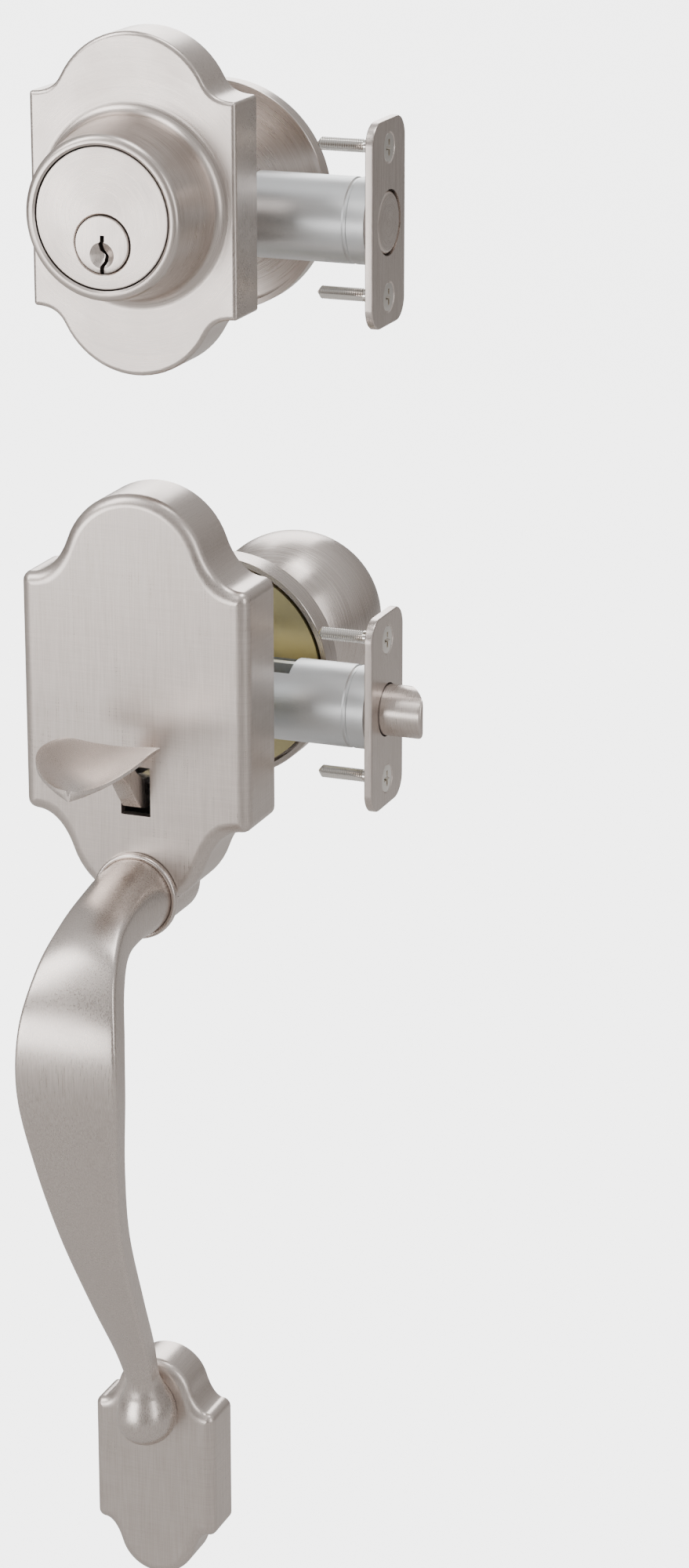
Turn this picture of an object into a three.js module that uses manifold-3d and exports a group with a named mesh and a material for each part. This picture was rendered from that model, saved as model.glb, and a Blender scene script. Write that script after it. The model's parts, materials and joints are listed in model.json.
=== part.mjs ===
// Matched entry lock set for a 1-3/4 in door: keyed deadbolt above a thumb-latch grip handle, with an
// inside thumbturn and an inside knob. Millimetres, +Z up. The outside face of the door is y = 0 and
// faces -Y, the inside face is y = DOOR_THICKNESS, and the bolts point to +X. The origin is where the
// latch's cross bore axis meets the outside face of the door.
import * as THREE from "three";
import { mergeVertices } from "three/addons/utils/BufferGeometryUtils.js";
import Module from "manifold-3d";

const wasm = await Module();
wasm.setup();

// ---------------------------------------------------------------- driving dimensions
const CLEAR = 0.3; // gap between neighbouring pieces
const DOOR_THICKNESS = 44.45;
const BACKSET = 60.325; // door edge to cross bore axis
const LOCK_SPACING = 139.7; // latch axis to deadbolt axis
const MID_DOOR = DOOR_THICKNESS / 2;
const PLATE_RISE = 7; // the outside plates are centred this far above their lock axis
const ROUND = 24; // sides of a visible round piece
const MEDIUM_ROUND = 20; // sides of a tube or hub
const SMALL_ROUND = 12; // sides of a hidden or small round piece

// Arched plates: half width, height of the corners and of the arches from the centre, and the
// point where the concave shoulder meets the arch.
const DEADBOLT_PLATE = {
  halfWidth: 30.3, cornerHeight: 29.6, archHeight: 47, shoulderX: 21, shoulderZ: 34.3,
  thickness: 15.1, wall: 2.6, edge: 0.8,
};
const HANDLE_PLATE = {
  halfWidth: 34.5, cornerHeight: 35.1, archHeight: 60.1, shoulderX: 20.5, shoulderZ: 45.7,
  thickness: 19.6, wall: 2.8, edge: 3,
};
const LOWER_PLATE = {
  halfWidth: 19.2, cornerHeight: 20.1, archHeight: 35.6, shoulderX: 11.6, shoulderZ: 27,
  thickness: 14.1, wall: 2.6, edge: 2.6,
};
const LOWER_PLATE_Z = -234;

const COLLAR = { baseRadius: 28.5, footRadius: 25, rimRadius: 22.6, projection: 21, round: 2 };
const CYLINDER = { radius: 19.25, faceInset: 0.5, backGap: 5, flangeRadius: 24, flangeThickness: 2.5 };
const PLUG = { radius: 7.85, proud: 0.3, tail: 1.2, pocketRadius: 5, pocketDepth: 3 };
const KEYWAY = { width: 1.3, height: 10.3, jog: 0.55 };
const PIN = { radius: 1.35, bore: 1.65, pitch: 3.9, count: 5, driverLength: 5, firstInset: 6.5 };
const TAIL_BAR = { width: 2, height: 6.4, headRadius: 4.6, headThickness: 1.6 };
const CROSS_SCREW = { radius: 2.1, headRadius: 3.7, headHeight: 2.2, spacing: 25.4, engagement: 9 };

const THUMBTURN_ROSE = { radius: 33, height: 7, wall: 1.6, stepRadius: 25, stepDrop: 1, hubRadius: 6.6 };
const THUMBTURN = { length: 31.6, width: 12.7, front: 22.2, depth: 12, hubRadius: 6.2, spindleRadius: 4.5 };

const BOLT_UNIT = {
  throw: 25.4, caseRadius: 12, caseBack: 21, boltRadius: 8.75, boltLength: 36, boltBore: 9.15,
};
const LATCH_UNIT = {
  throw: 12, caseRadius: 12, caseBack: 20, boltRadius: 7.4, boltLength: 14, boltBore: 7.8,
  projection: 12.7,
};
const FACEPLATE = { width: 25.4, height: 57.15, thickness: 2.4, corner: 6.3, screwPitch: 41.3 };
const FACE_SCREW = { radius: 1.9, headRadius: 4.1, headHeight: 2.2, length: 19 };

const THUMB_SLOT = { width: 9, top: -11.5, bottom: -26 };
const THUMB_PIVOT = { y: -11, z: -20.5, radius: 1.6 };
const PADDLE = {
  halfWidth: 15.5, backShare: 0.92, widest: 0.45, back: -34.5, tip: -64.5,
  thickness: 1.9, top: 0.4, lift: 1.5, drop: 5, dish: 3.2,
};
const THUMB_STEM_WIDTH = 5.6;
const LIFT = { travel: 2, width: 16, thickness: 1.6, bottom: -16.8, top: 9, ledge: 1.6, reach: 7 };
const HANDLE_POST = { radius: 3.75, bore: 2.4, spacing: 45, length: 36 };
const BACK_PLATE_THICKNESS = 1.8;

// Grip stations from the upper plate to the foot: distance from the door, height, width, thickness
// and squareness of the section (2 is an ellipse, more is boxier).
const GRIP_STATIONS = [
  { y: -0.6, z: -49.8, width: 23, thick: 23, square: 2 },
  { y: -22, z: -49.8, width: 22.4, thick: 22.4, square: 2 },
  { y: -36, z: -50.2, width: 19.8, thick: 17.6, square: 2.2 },
  { y: -49, z: -53, width: 20, thick: 12.8, square: 2.5 },
  { y: -59.5, z: -61.5, width: 24.5, thick: 9.6, square: 3 },
  { y: -66.6, z: -76.5, width: 29.8, thick: 7.9, square: 3.3 },
  { y: -67.1, z: -94, width: 30.6, thick: 7.4, square: 3.3 },
  { y: -62, z: -117, width: 25.5, thick: 6.9, square: 3.2 },
  { y: -53, z: -141.5, width: 19.6, thick: 6.9, square: 3 },
  { y: -38.6, z: -168, width: 14.6, thick: 7.2, square: 2.7 },
  { y: -26.6, z: -189, width: 10.6, thick: 8, square: 2.3 },
  { y: -20.4, z: -204, width: 9.4, thick: 9, square: 2 },
];
const GRIP_FOOT = { z: -212.6, y: -19, halfWidth: 9, halfDepth: 9.6, halfHeight: 11.8 };
const GRIP_SPLITS = { around: 16, along: 25 };
const GRIP_BOLT = { radius: 2.4, headRadius: 4.6, headHeight: 3.4, depth: 10 };

const KNOB_ROSE = { radius: 33.5, side: 9, wall: 1.6, neckRadius: 16.6, neckHeight: 17 };
const KNOB = { ballRadius: 27, centre: 57, neckRadius: 13.2, shankRadius: 15.6, wall: 2.2 };
const KNOB_SCREW = {
  spacing: 45, bore: 3.7, tubeRadius: 4.5, holeRadius: 4.8, shank: 1.9, headRadius: 3.3, headHeight: 2.2,
  end: 12,
};
const MOUNT_PLATE_THICKNESS = 2;
const SLEEVE = { radius: 8.4, clearHole: 9, clipRadius: 11.6 };
const SPINDLE = { side: 7, start: 8, end: 62 };

// ---------------------------------------------------------------- finishes
const finishes = {
  satinNickel: { color: 0xbeb4af, roughness: 0.34, metalness: 1 },
  brightNickel: { color: 0xd8d4cc, roughness: 0.16, metalness: 1 },
  yellowZinc: { color: 0xb9a25c, roughness: 0.32, metalness: 1 },
  brass: { color: 0xb5954f, roughness: 0.3, metalness: 1 },
  zincSteel: { color: 0xa7a9ab, roughness: 0.42, metalness: 1 },
  hardSteel: { color: 0x6f7072, roughness: 0.38, metalness: 1 },
};

// ---------------------------------------------------------------- solids and booleans
// A three.js geometry as a manifold-3d solid with its faces outward.
function solid(geometry) {
  const bare = geometry.index ? geometry.toNonIndexed() : geometry.clone();
  bare.deleteAttribute("normal");
  bare.deleteAttribute("uv");
  const merged = mergeVertices(bare, 1e-4);
  const corners = merged.index.array;
  const kept = [];
  for (let i = 0; i < corners.length; i += 3) {
    const [a, b, c] = [corners[i], corners[i + 1], corners[i + 2]];
    if (a !== b && b !== c && c !== a) kept.push(a, b, c);
  }
  const vertProperties = merged.attributes.position.array;
  const made = new wasm.Manifold(
    new wasm.Mesh({ numProp: 3, vertProperties, triVerts: new Uint32Array(kept) }),
  );
  if (made.volume() > 0) return made;
  kept.reverse();
  return new wasm.Manifold(
    new wasm.Mesh({ numProp: 3, vertProperties, triVerts: new Uint32Array(kept) }),
  );
}

function joined(first, ...others) {
  return others.reduce((whole, piece) => whole.add(piece), first);
}

function cut(first, ...tools) {
  return tools.reduce((whole, tool) => whole.subtract(tool), first);
}

// A box between two corners.
function block(x0, x1, y0, y1, z0, z1) {
  const box = new THREE.BoxGeometry(x1 - x0, y1 - y0, z1 - z0);
  return solid(box.translate((x0 + x1) / 2, (y0 + y1) / 2, (z0 + z1) / 2));
}

// A round bar along the door's thickness, from y0 to y1, at (x, z).
function barY(radius, y0, y1, x = 0, z = 0, sides = SMALL_ROUND) {
  const bar = new THREE.CylinderGeometry(radius, radius, y1 - y0, sides);
  return solid(bar.translate(x, (y0 + y1) / 2, z));
}

// A cone along Y whose radius goes from r0 at y0 to r1 at y1.
function coneY(r0, r1, y0, y1, x = 0, z = 0, sides = SMALL_ROUND) {
  const cone = new THREE.CylinderGeometry(r1, r0, y1 - y0, sides);
  return solid(cone.translate(x, (y0 + y1) / 2, z));
}

// A round bar along X, from x0 to x1, at (y, z).
function barX(radius, x0, x1, y = 0, z = 0, sides = SMALL_ROUND) {
  const bar = new THREE.CylinderGeometry(radius, radius, x1 - x0, sides);
  return solid(bar.rotateZ(-Math.PI / 2).translate((x0 + x1) / 2, y, z));
}

// A round bar along Z, from z0 to z1, at (x, y).
function barZ(radius, z0, z1, x = 0, y = 0, sides = SMALL_ROUND) {
  const bar = new THREE.CylinderGeometry(radius, radius, z1 - z0, sides);
  return solid(bar.rotateX(Math.PI / 2).translate(x, y, (z0 + z1) / 2));
}

// A solid turned about the Y axis from [radius, y] points; it closes on itself.
function turned(points, sides = ROUND) {
  const profile = points.map(([radius, y]) => new THREE.Vector2(radius, y));
  const onAxis = points[0][0] === 0 && points.at(-1)[0] === 0;
  if (!onAxis) profile.push(profile[0].clone());
  return solid(new THREE.LatheGeometry(profile, sides));
}

// [radius, y] points of a rounded corner, an arc about (r, y) between two angles in degrees.
function arcPoints(r, y, radius, from, to, steps = 3) {
  const points = [];
  for (let i = 0; i <= steps; i++) {
    const angle = THREE.MathUtils.degToRad(from + ((to - from) * i) / steps);
    points.push([r + radius * Math.cos(angle), y + radius * Math.sin(angle)]);
  }
  return points;
}

// A shape drawn in (x, z) and carried from y0 to y1.
function slab(shape, y0, y1, curveSegments = 6) {
  const geometry = new THREE.ExtrudeGeometry(shape, { depth: y1 - y0, bevelEnabled: false, curveSegments });
  return solid(geometry.rotateX(Math.PI / 2).translate(0, y1, 0));
}

function polygon(points) {
  return new THREE.Shape(points.map(([x, z]) => new THREE.Vector2(x, z)));
}

function roundedRectangle(halfWidth, halfHeight, corner) {
  const shape = new THREE.Shape();
  shape.moveTo(-halfWidth + corner, -halfHeight);
  shape.absarc(halfWidth - corner, -halfHeight + corner, corner, -Math.PI / 2, 0);
  shape.absarc(halfWidth - corner, halfHeight - corner, corner, 0, Math.PI / 2);
  shape.absarc(-halfWidth + corner, halfHeight - corner, corner, Math.PI / 2, Math.PI);
  shape.absarc(-halfWidth + corner, -halfHeight + corner, corner, Math.PI, Math.PI * 1.5);
  return shape;
}

// ---------------------------------------------------------------- arched plates
// The outline of an arched plate, moved inwards by inset: arch, shoulder, side, shoulder, arch.
function archedOutline(plate, inset = 0) {
  const sagitta = plate.archHeight - plate.shoulderZ;
  const archRadius = (plate.shoulderX ** 2 + sagitta ** 2) / (2 * sagitta);
  const archCentre = plate.archHeight - archRadius;
  const angle = Math.atan2(plate.shoulderZ - archCentre, plate.shoulderX);
  const radius = archRadius - inset;
  const start = [radius * Math.cos(angle), archCentre + radius * Math.sin(angle)];
  const corner = [plate.halfWidth - inset, plate.cornerHeight - inset];
  const reach = Math.hypot(corner[0] - start[0], corner[1] - start[1]) / 2.4;
  const leave = [start[0] + reach * Math.sin(angle), start[1] - reach * Math.cos(angle)];
  const arrive = [corner[0] - reach, corner[1] + 0.02 * reach];
  const shape = new THREE.Shape();
  shape.moveTo(corner[0], -corner[1]);
  shape.lineTo(corner[0], corner[1]);
  shape.bezierCurveTo(arrive[0], arrive[1], leave[0], leave[1], start[0], start[1]);
  shape.absarc(0, archCentre, radius, angle, Math.PI - angle);
  shape.bezierCurveTo(-leave[0], leave[1], -arrive[0], arrive[1], -corner[0], corner[1]);
  shape.lineTo(-corner[0], -corner[1]);
  shape.bezierCurveTo(-arrive[0], -arrive[1], -leave[0], -leave[1], -start[0], -start[1]);
  shape.absarc(0, -archCentre, radius, Math.PI + angle, Math.PI * 2 - angle);
  shape.bezierCurveTo(leave[0], -leave[1], arrive[0], -arrive[1], corner[0], -corner[1]);
  return shape;
}

// A hollow arched plate with its back on the door and a softened front edge.
function archedShell(plate) {
  const { thickness, edge, wall } = plate;
  const front = new THREE.ExtrudeGeometry(archedOutline(plate, edge), {
    depth: thickness, bevelSize: edge, bevelThickness: edge, bevelSegments: 2, curveSegments: 7,
  });
  const whole = solid(front.rotateX(Math.PI / 2).translate(0, edge, 0));
  const size = 2 * plate.archHeight;
  const kept = whole.intersect(block(-size, size, -thickness, 0, -size, size));
  const pocket = slab(archedOutline(plate, wall), -thickness + wall, 1, 4);
  return kept.subtract(pocket);
}

// The plate's outer outline as a cutter, CLEAR larger all round.
function archedCutter(plate) {
  return slab(archedOutline(plate, -CLEAR), -plate.thickness - CLEAR, 2, 10);
}

// ---------------------------------------------------------------- fasteners
// A cross recess cut into a head whose top is at y, opening towards the sign of out.
function crossRecess(radius, y, out, x = 0, z = 0) {
  const half = radius * 0.62;
  const arm = radius * 0.15;
  const inner = y - out * radius * 0.4;
  const low = Math.min(y + out, inner);
  const high = Math.max(y + out, inner);
  return joined(
    block(x - half, x + half, low, high, z - arm, z + arm),
    block(x - arm, x + arm, low, high, z - half, z + half),
  );
}

// A countersunk screw along Y: its flat head is at y and its shank runs to end.
function flatScrewY(size, y, end) {
  const out = Math.sign(y - end);
  const neck = y - out * size.headHeight;
  const [r0, r1] = out > 0 ? [size.radius, size.headRadius] : [size.headRadius, size.radius];
  const head = coneY(r0, r1, Math.min(y, neck), Math.max(y, neck), 0, 0, MEDIUM_ROUND);
  const shank = barY(size.radius, Math.min(end, neck + out * 0.01), Math.max(end, neck + out * 0.01));
  return cut(joined(head, shank), crossRecess(size.headRadius, y, out));
}

// A wood screw along X: its flat head is at x and its point is length behind.
function faceScrewX(x, z) {
  const { radius, headRadius, headHeight } = FACE_SCREW;
  const head = new THREE.CylinderGeometry(headRadius, radius, headHeight, MEDIUM_ROUND);
  const shank = new THREE.CylinderGeometry(radius, 0.5, FACE_SCREW.length, 8);
  const whole = joined(
    solid(head.translate(0, -headHeight / 2, 0)),
    solid(shank.translate(0, -FACE_SCREW.length / 2 - headHeight + 0.1, 0)),
  );
  const cross = cut(whole, crossRecess(headRadius, 0, 1));
  const geometry = geometryOf(cross).rotateZ(-Math.PI / 2);
  return solid(geometry.translate(x, MID_DOOR, z));
}

// A coil spring of round wire along the X axis.
function coilX(radius, wire, x0, x1, turns) {
  const points = [];
  const steps = turns * 8;
  for (let i = 0; i <= steps; i++) {
    const angle = (i / 8) * Math.PI * 2;
    const x = x0 + ((x1 - x0) * i) / steps;
    points.push(new THREE.Vector3(x, radius * Math.cos(angle), radius * Math.sin(angle)));
  }
  const path = new THREE.CatmullRomCurve3(points);
  const section = new THREE.Shape().absarc(0, 0, wire, 0, Math.PI * 2);
  return new THREE.ExtrudeGeometry(section, { steps, extrudePath: path, curveSegments: 2 });
}

function geometryOf(made) {
  const mesh = made.getMesh();
  const geometry = new THREE.BufferGeometry();
  geometry.setAttribute("position", new THREE.BufferAttribute(new Float32Array(mesh.vertProperties), 3));
  geometry.setIndex(new THREE.BufferAttribute(new Uint32Array(mesh.triVerts), 1));
  return geometry;
}

// A named mesh in a group, from a solid or a geometry.
function addPiece(group, name, finish, shape) {
  const geometry = shape.isBufferGeometry ? shape : geometryOf(shape);
  const flat = geometry.index ? geometry.toNonIndexed() : geometry;
  flat.computeVertexNormals();
  const mesh = new THREE.Mesh(flat, new THREE.MeshStandardMaterial(finishes[finish]));
  mesh.name = name;
  group.add(mesh);
  return mesh;
}

// ---------------------------------------------------------------- deadbolt, outside half
// Its group stands on the deadbolt axis; the plate's own centre is PLATE_RISE higher.
const plugFace = -DEADBOLT_PLATE.thickness - COLLAR.projection + CYLINDER.faceInset - PLUG.proud;
const cylinderFace = plugFace + PLUG.proud;
const cylinderBack = -CYLINDER.backGap;
const plugBack = cylinderBack + PLUG.tail;

function deadboltPlate() {
  const front = -DEADBOLT_PLATE.thickness;
  const rim = front - COLLAR.projection;
  const fillet = COLLAR.baseRadius - COLLAR.footRadius;
  const outer = turned([
    [0, front + 1],
    [COLLAR.baseRadius, front + 1],
    ...arcPoints(COLLAR.baseRadius, front - fillet, fillet, 90, 180),
    ...arcPoints(COLLAR.rimRadius - COLLAR.round, rim + COLLAR.round, COLLAR.round, 0, -90),
    [0, rim],
  ]);
  const bore = turned([
    [0, rim - 1],
    [CYLINDER.radius + CLEAR + 0.5, rim - 1],
    [CYLINDER.radius + CLEAR, rim + 0.6],
    [CYLINDER.radius + CLEAR, 1],
    [0, 1],
  ]);
  return cut(joined(archedShell(DEADBOLT_PLATE), outer), bore);
}

function pinY(index) {
  return cylinderFace + PIN.firstInset + index * PIN.pitch;
}

// The cylinder body is centred PLATE_RISE above the plug, inside the collar.
function cylinderHousing() {
  const flangeFront = -DEADBOLT_PLATE.thickness + DEADBOLT_PLATE.wall + CLEAR;
  const body = turned([
    [0, cylinderFace],
    [CYLINDER.radius - 0.5, cylinderFace],
    [CYLINDER.radius, cylinderFace + 0.5],
    [CYLINDER.radius, flangeFront],
    [CYLINDER.flangeRadius, flangeFront],
    [CYLINDER.flangeRadius, flangeFront + CYLINDER.flangeThickness],
    [CYLINDER.radius, flangeFront + CYLINDER.flangeThickness],
    [CYLINDER.radius, cylinderBack],
    [0, cylinderBack],
  ]);
  const plugBore = barY(
    PLUG.radius + CLEAR, cylinderFace - 1, cylinderBack + 1, 0, -PLATE_RISE, MEDIUM_ROUND,
  );
  const screwEnd = cylinderBack - CROSS_SCREW.engagement - 1;
  const screwX = CROSS_SCREW.spacing / 2;
  const screwHoles = [-1, 1].map((side) =>
    barY(CROSS_SCREW.radius + CLEAR, screwEnd, cylinderBack + 1, side * screwX, -PLATE_RISE),
  );
  const chamberTop = PLUG.radius + PIN.driverLength + 5;
  const chambers = [];
  for (let i = 0; i < PIN.count; i++) {
    chambers.push(barZ(PIN.bore, -PLATE_RISE + 2, -PLATE_RISE + chamberTop, 0, pinY(i), SMALL_ROUND));
  }
  return cut(body, plugBore, ...screwHoles, ...chambers);
}

// The keyway's zigzag outline, from the plug's lower edge up to its centre.
function keywayShape() {
  const half = KEYWAY.width / 2;
  const bottom = -PLUG.radius - 1;
  const top = KEYWAY.height - PLUG.radius;
  const levels = [
    [0, bottom],
    [0, -PLUG.radius + 2],
    [KEYWAY.jog, -PLUG.radius + 3.2],
    [KEYWAY.jog, -PLUG.radius + 5],
    [-KEYWAY.jog, -PLUG.radius + 6.4],
    [-KEYWAY.jog, -PLUG.radius + 8],
    [0, -PLUG.radius + 9],
    [0, top],
  ];
  const right = levels.map(([x, z]) => [x + half, z]);
  const left = levels.map(([x, z]) => [x - half, z]).reverse();
  return polygon([...right, ...left]);
}

function keyPlug() {
  const body = turned(
    [
      [0, plugFace],
      [PLUG.radius - 0.4, plugFace],
      [PLUG.radius, plugFace + 0.4],
      [PLUG.radius, plugBack],
      [0, plugBack],
    ],
    MEDIUM_ROUND,
  );
  const keyway = slab(keywayShape(), plugFace - 1, cylinderBack - 5);
  const mouth = coneY(3.6, 0.2, plugFace - 0.02, plugFace + 2.2, 0, -2.6, MEDIUM_ROUND);
  const pocket = barY(PLUG.pocketRadius, plugBack - PLUG.pocketDepth, plugBack + 1);
  const chambers = [];
  for (let i = 0; i < PIN.count; i++) {
    chambers.push(barZ(PIN.bore, 1, PLUG.radius + 1, 0, pinY(i), SMALL_ROUND));
  }
  return cut(body, keyway, mouth, pocket, ...chambers);
}

// The cap screwed over the plug's tail, with a slot for the tail bar.
function plugRetainer() {
  const inner = plugBack + CLEAR;
  const disc = barY(PLUG.radius + 1.6, inner, inner + 1.6, 0, 0, MEDIUM_ROUND);
  const slot = tailBarHole(inner - 1, inner + 3);
  return cut(disc, slot);
}

function tailBarHole(y0, y1) {
  const halfWidth = TAIL_BAR.width / 2 + CLEAR;
  const halfHeight = TAIL_BAR.height / 2 + CLEAR;
  return block(-halfWidth, halfWidth, y0, y1, -halfHeight, halfHeight);
}

function tailpiece() {
  const headFront = plugBack - PLUG.pocketDepth + CLEAR;
  const head = barY(TAIL_BAR.headRadius, headFront, headFront + TAIL_BAR.headThickness);
  const end = DOOR_THICKNESS + 6;
  const bar = block(
    -TAIL_BAR.width / 2, TAIL_BAR.width / 2, headFront + 0.5, end, -TAIL_BAR.height / 2, TAIL_BAR.height / 2,
  );
  return joined(head, bar);
}

const deadbolt = new THREE.Group();
deadbolt.position.z = LOCK_SPACING;
const raised = new THREE.Group();
raised.position.z = PLATE_RISE;
deadbolt.add(raised);

addPiece(raised, "deadbolt_plate", "satinNickel", deadboltPlate());
addPiece(raised, "cylinder_housing", "satinNickel", cylinderHousing());
addPiece(deadbolt, "key_plug", "satinNickel", keyPlug());
addPiece(deadbolt, "plug_retainer", "brass", plugRetainer());
addPiece(deadbolt, "tailpiece", "zincSteel", tailpiece());
for (let i = 0; i < PIN.count; i++) {
  const shearLine = PLUG.radius + 0.15;
  const driver = barZ(PIN.radius, shearLine, shearLine + PIN.driverLength, 0, pinY(i), 10);
  addPiece(deadbolt, `driver_pin_${i + 1}`, "brass", driver);
  const keyLength = 4.1 + ((i * 2) % PIN.count) * 0.35;
  const key = barZ(PIN.radius, PLUG.radius - 0.2 - keyLength, PLUG.radius - 0.2, 0, pinY(i), 10);
  addPiece(deadbolt, `key_pin_${i + 1}`, "brass", key);
}

// ---------------------------------------------------------------- deadbolt, inside half
function roseFace(radius) {
  const { height, stepDrop, stepRadius, hubRadius } = THUMBTURN_ROSE;
  const run = (stepRadius - radius) / (stepRadius - hubRadius);
  return DOOR_THICKNESS + height - stepDrop - 1.2 * Math.max(0, run);
}

function thumbturnRose() {
  const { radius, height, wall, stepRadius, stepDrop, hubRadius } = THUMBTURN_ROSE;
  const face = DOOR_THICKNESS + height;
  const shell = turned([
    [hubRadius, roseFace(hubRadius)],
    [stepRadius - 1.4, face - stepDrop],
    [stepRadius - 0.5, face - stepDrop + 0.2],
    [stepRadius + 0.4, face - 0.15],
    [stepRadius + 1, face],
    ...arcPoints(radius - 2.6, face - 2.6, 2.6, 90, 0),
    [radius, DOOR_THICKNESS],
    [radius - wall, DOOR_THICKNESS],
    ...arcPoints(radius - 2.6, face - 2.6, 2.6 - wall, 0, 90, 2),
    [stepRadius, face - wall],
    [hubRadius, roseFace(hubRadius) - wall],
  ]);
  const screwX = CROSS_SCREW.spacing / 2;
  const bosses = [-1, 1].map((side) => barY(5, DOOR_THICKNESS + 1, roseFace(screwX) - 0.6, side * screwX));
  const holes = [-1, 1].map((side) =>
    joined(
      barY(CROSS_SCREW.radius + CLEAR, DOOR_THICKNESS, face + 1, side * screwX),
      coneY(
        CROSS_SCREW.radius + CLEAR, CROSS_SCREW.headRadius + CLEAR,
        screwHeadY - CROSS_SCREW.headHeight - CLEAR, screwHeadY, side * screwX, 0, 24,
      ),
      barY(CROSS_SCREW.headRadius + CLEAR, screwHeadY - 0.01, face + 1, side * screwX, 0, MEDIUM_ROUND),
    ),
  );
  return cut(joined(shell, ...bosses), ...holes);
}

// The rhombus with rounded tips that the thumb and finger hold.
function turnOutline() {
  const tall = THUMBTURN.length / 2;
  const wide = THUMBTURN.width / 2;
  const shape = new THREE.Shape();
  shape.moveTo(wide, -1.2);
  shape.quadraticCurveTo(wide + 0.3, 0, wide, 1.2);
  shape.lineTo(2.3, tall - 1.6);
  shape.quadraticCurveTo(1.3, tall, 0, tall);
  shape.quadraticCurveTo(-1.3, tall, -2.3, tall - 1.6);
  shape.lineTo(-wide, 1.2);
  shape.quadraticCurveTo(-wide - 0.3, 0, -wide, -1.2);
  shape.lineTo(-2.3, -tall + 1.6);
  shape.quadraticCurveTo(-1.3, -tall, 0, -tall);
  shape.quadraticCurveTo(1.3, -tall, 2.3, -tall + 1.6);
  return shape;
}

function thumbturn() {
  const front = DOOR_THICKNESS + THUMBTURN.front;
  const back = front - THUMBTURN.depth;
  const spindleStart = DOOR_THICKNESS + 0.6;
  const grip = slab(turnOutline(), back, front, 4);
  const hub = turned([
    [0, spindleStart],
    [THUMBTURN.spindleRadius, spindleStart],
    [THUMBTURN.spindleRadius, roseFace(THUMBTURN_ROSE.hubRadius) - 0.4],
    [THUMBTURN.hubRadius, roseFace(THUMBTURN_ROSE.hubRadius) - 0.4],
    [THUMBTURN.hubRadius, back - 0.6],
    [THUMBTURN.hubRadius - 0.6, back + 0.5],
    [0, back + 0.5],
  ], MEDIUM_ROUND);
  return cut(joined(grip, hub), tailBarHole(DOOR_THICKNESS - 1, DOOR_THICKNESS + 6 + CLEAR));
}

// A spring-steel C ring that holds a spindle in its rose.
function openRing(inner, outer, y0, y1) {
  const ring = cut(barY(outer, y0, y1, 0, 0, MEDIUM_ROUND), barY(inner, y0 - 1, y1 + 1, 0, 0, MEDIUM_ROUND));
  return cut(ring, block(-inner * 0.5, inner * 0.5, y0 - 1, y1 + 1, 0, outer + 1));
}

const screwHeadY = roseFace(CROSS_SCREW.spacing / 2) - 0.1;
addPiece(deadbolt, "thumbturn_rose", "satinNickel", thumbturnRose());
addPiece(deadbolt, "thumbturn", "satinNickel", thumbturn());
const clipStart = DOOR_THICKNESS + 1;
addPiece(deadbolt, "thumbturn_clip", "hardSteel",
  openRing(THUMBTURN.spindleRadius + CLEAR, THUMBTURN.spindleRadius + 2.2, clipStart, clipStart + 1.2));
for (const [side, word] of [[-1, "left"], [1, "right"]]) {
  const end = cylinderBack - CROSS_SCREW.engagement;
  const screw = addPiece(deadbolt, `through_screw_${word}`, "brightNickel",
    flatScrewY(CROSS_SCREW, screwHeadY, end));
  screw.position.x = (side * CROSS_SCREW.spacing) / 2;
}

// ---------------------------------------------------------------- bolt and latch units
// Both units share one layout: a tube with a box-shaped rear that the crank and link work in, a bolt in
// the tube, a forked link riveted to the bolt's tail, and a faceplate at the door's edge.
const hub = { radius: 6, half: 12 };
const link = { half: 1.2, barLow: 6.8, barHigh: 10.8, prong: 2.4 };
const arm = { near: 1.6, far: 4.2 };
const faceplateBack = BACKSET - FACEPLATE.thickness;

function unitCase(unit, postHoles) {
  const end = faceplateBack - CLEAR;
  const boreStart = unit.boreStart;
  const tube = barX(unit.caseRadius, -unit.caseBack, end, MID_DOOR, 0, MEDIUM_ROUND);
  const bore = barX(unit.boltBore, boreStart - 1, end + 1, MID_DOOR, 0, MEDIUM_ROUND);
  const cavity = block(-unit.caseBack + 2, boreStart, MID_DOOR - 8, MID_DOOR + 8, -8, unit.caseRadius + 1);
  const slotHalf = link.half + CLEAR;
  const linkSlot = block(
    boreStart - 1, unit.linkReach, MID_DOOR - slotHalf, MID_DOOR + slotHalf, 0, unit.caseRadius + 1,
  );
  const hubHole = barY(hub.radius + CLEAR, 0, DOOR_THICKNESS, 0, 0, MEDIUM_ROUND);
  return cut(tube, bore, cavity, linkSlot, hubHole, ...postHoles);
}

// The link: a bar over the hub with a fork for the crank's pin and a tongue down into the bolt's tail.
function unitLink(unit, { radius, degrees, pinRadius }, forkTop) {
  const angle = THREE.MathUtils.degToRad(degrees);
  const pinX = radius * Math.sin(angle);
  const forkBottom = radius * Math.cos(angle) - pinRadius - CLEAR - 0.1;
  const play = pinRadius + 0.75;
  const left = pinX - play - link.prong;
  const right = pinX + play + link.prong;
  const outline = polygon([
    [left, link.barLow],
    [unit.tongueBack, link.barLow],
    [unit.tongueBack, -2.4],
    [unit.boltTail + unit.tongue, -2.4],
    [unit.boltTail + unit.tongue, 2.4],
    [unit.boltTail - CLEAR, 2.4],
    [unit.boltTail - CLEAR, link.barHigh],
    [right, link.barHigh],
    [right, forkTop],
    [pinX + play, forkTop],
    [pinX + play, forkBottom],
    [pinX - play, forkBottom],
    [pinX - play, forkTop],
    [left, forkTop],
  ]);
  const plate = slab(outline, MID_DOOR - link.half, MID_DOOR + link.half);
  const rivetHole = barY(1.5 + CLEAR, 0, DOOR_THICKNESS, unit.rivetX, 0, SMALL_ROUND);
  return cut(plate, rivetHole);
}

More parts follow.
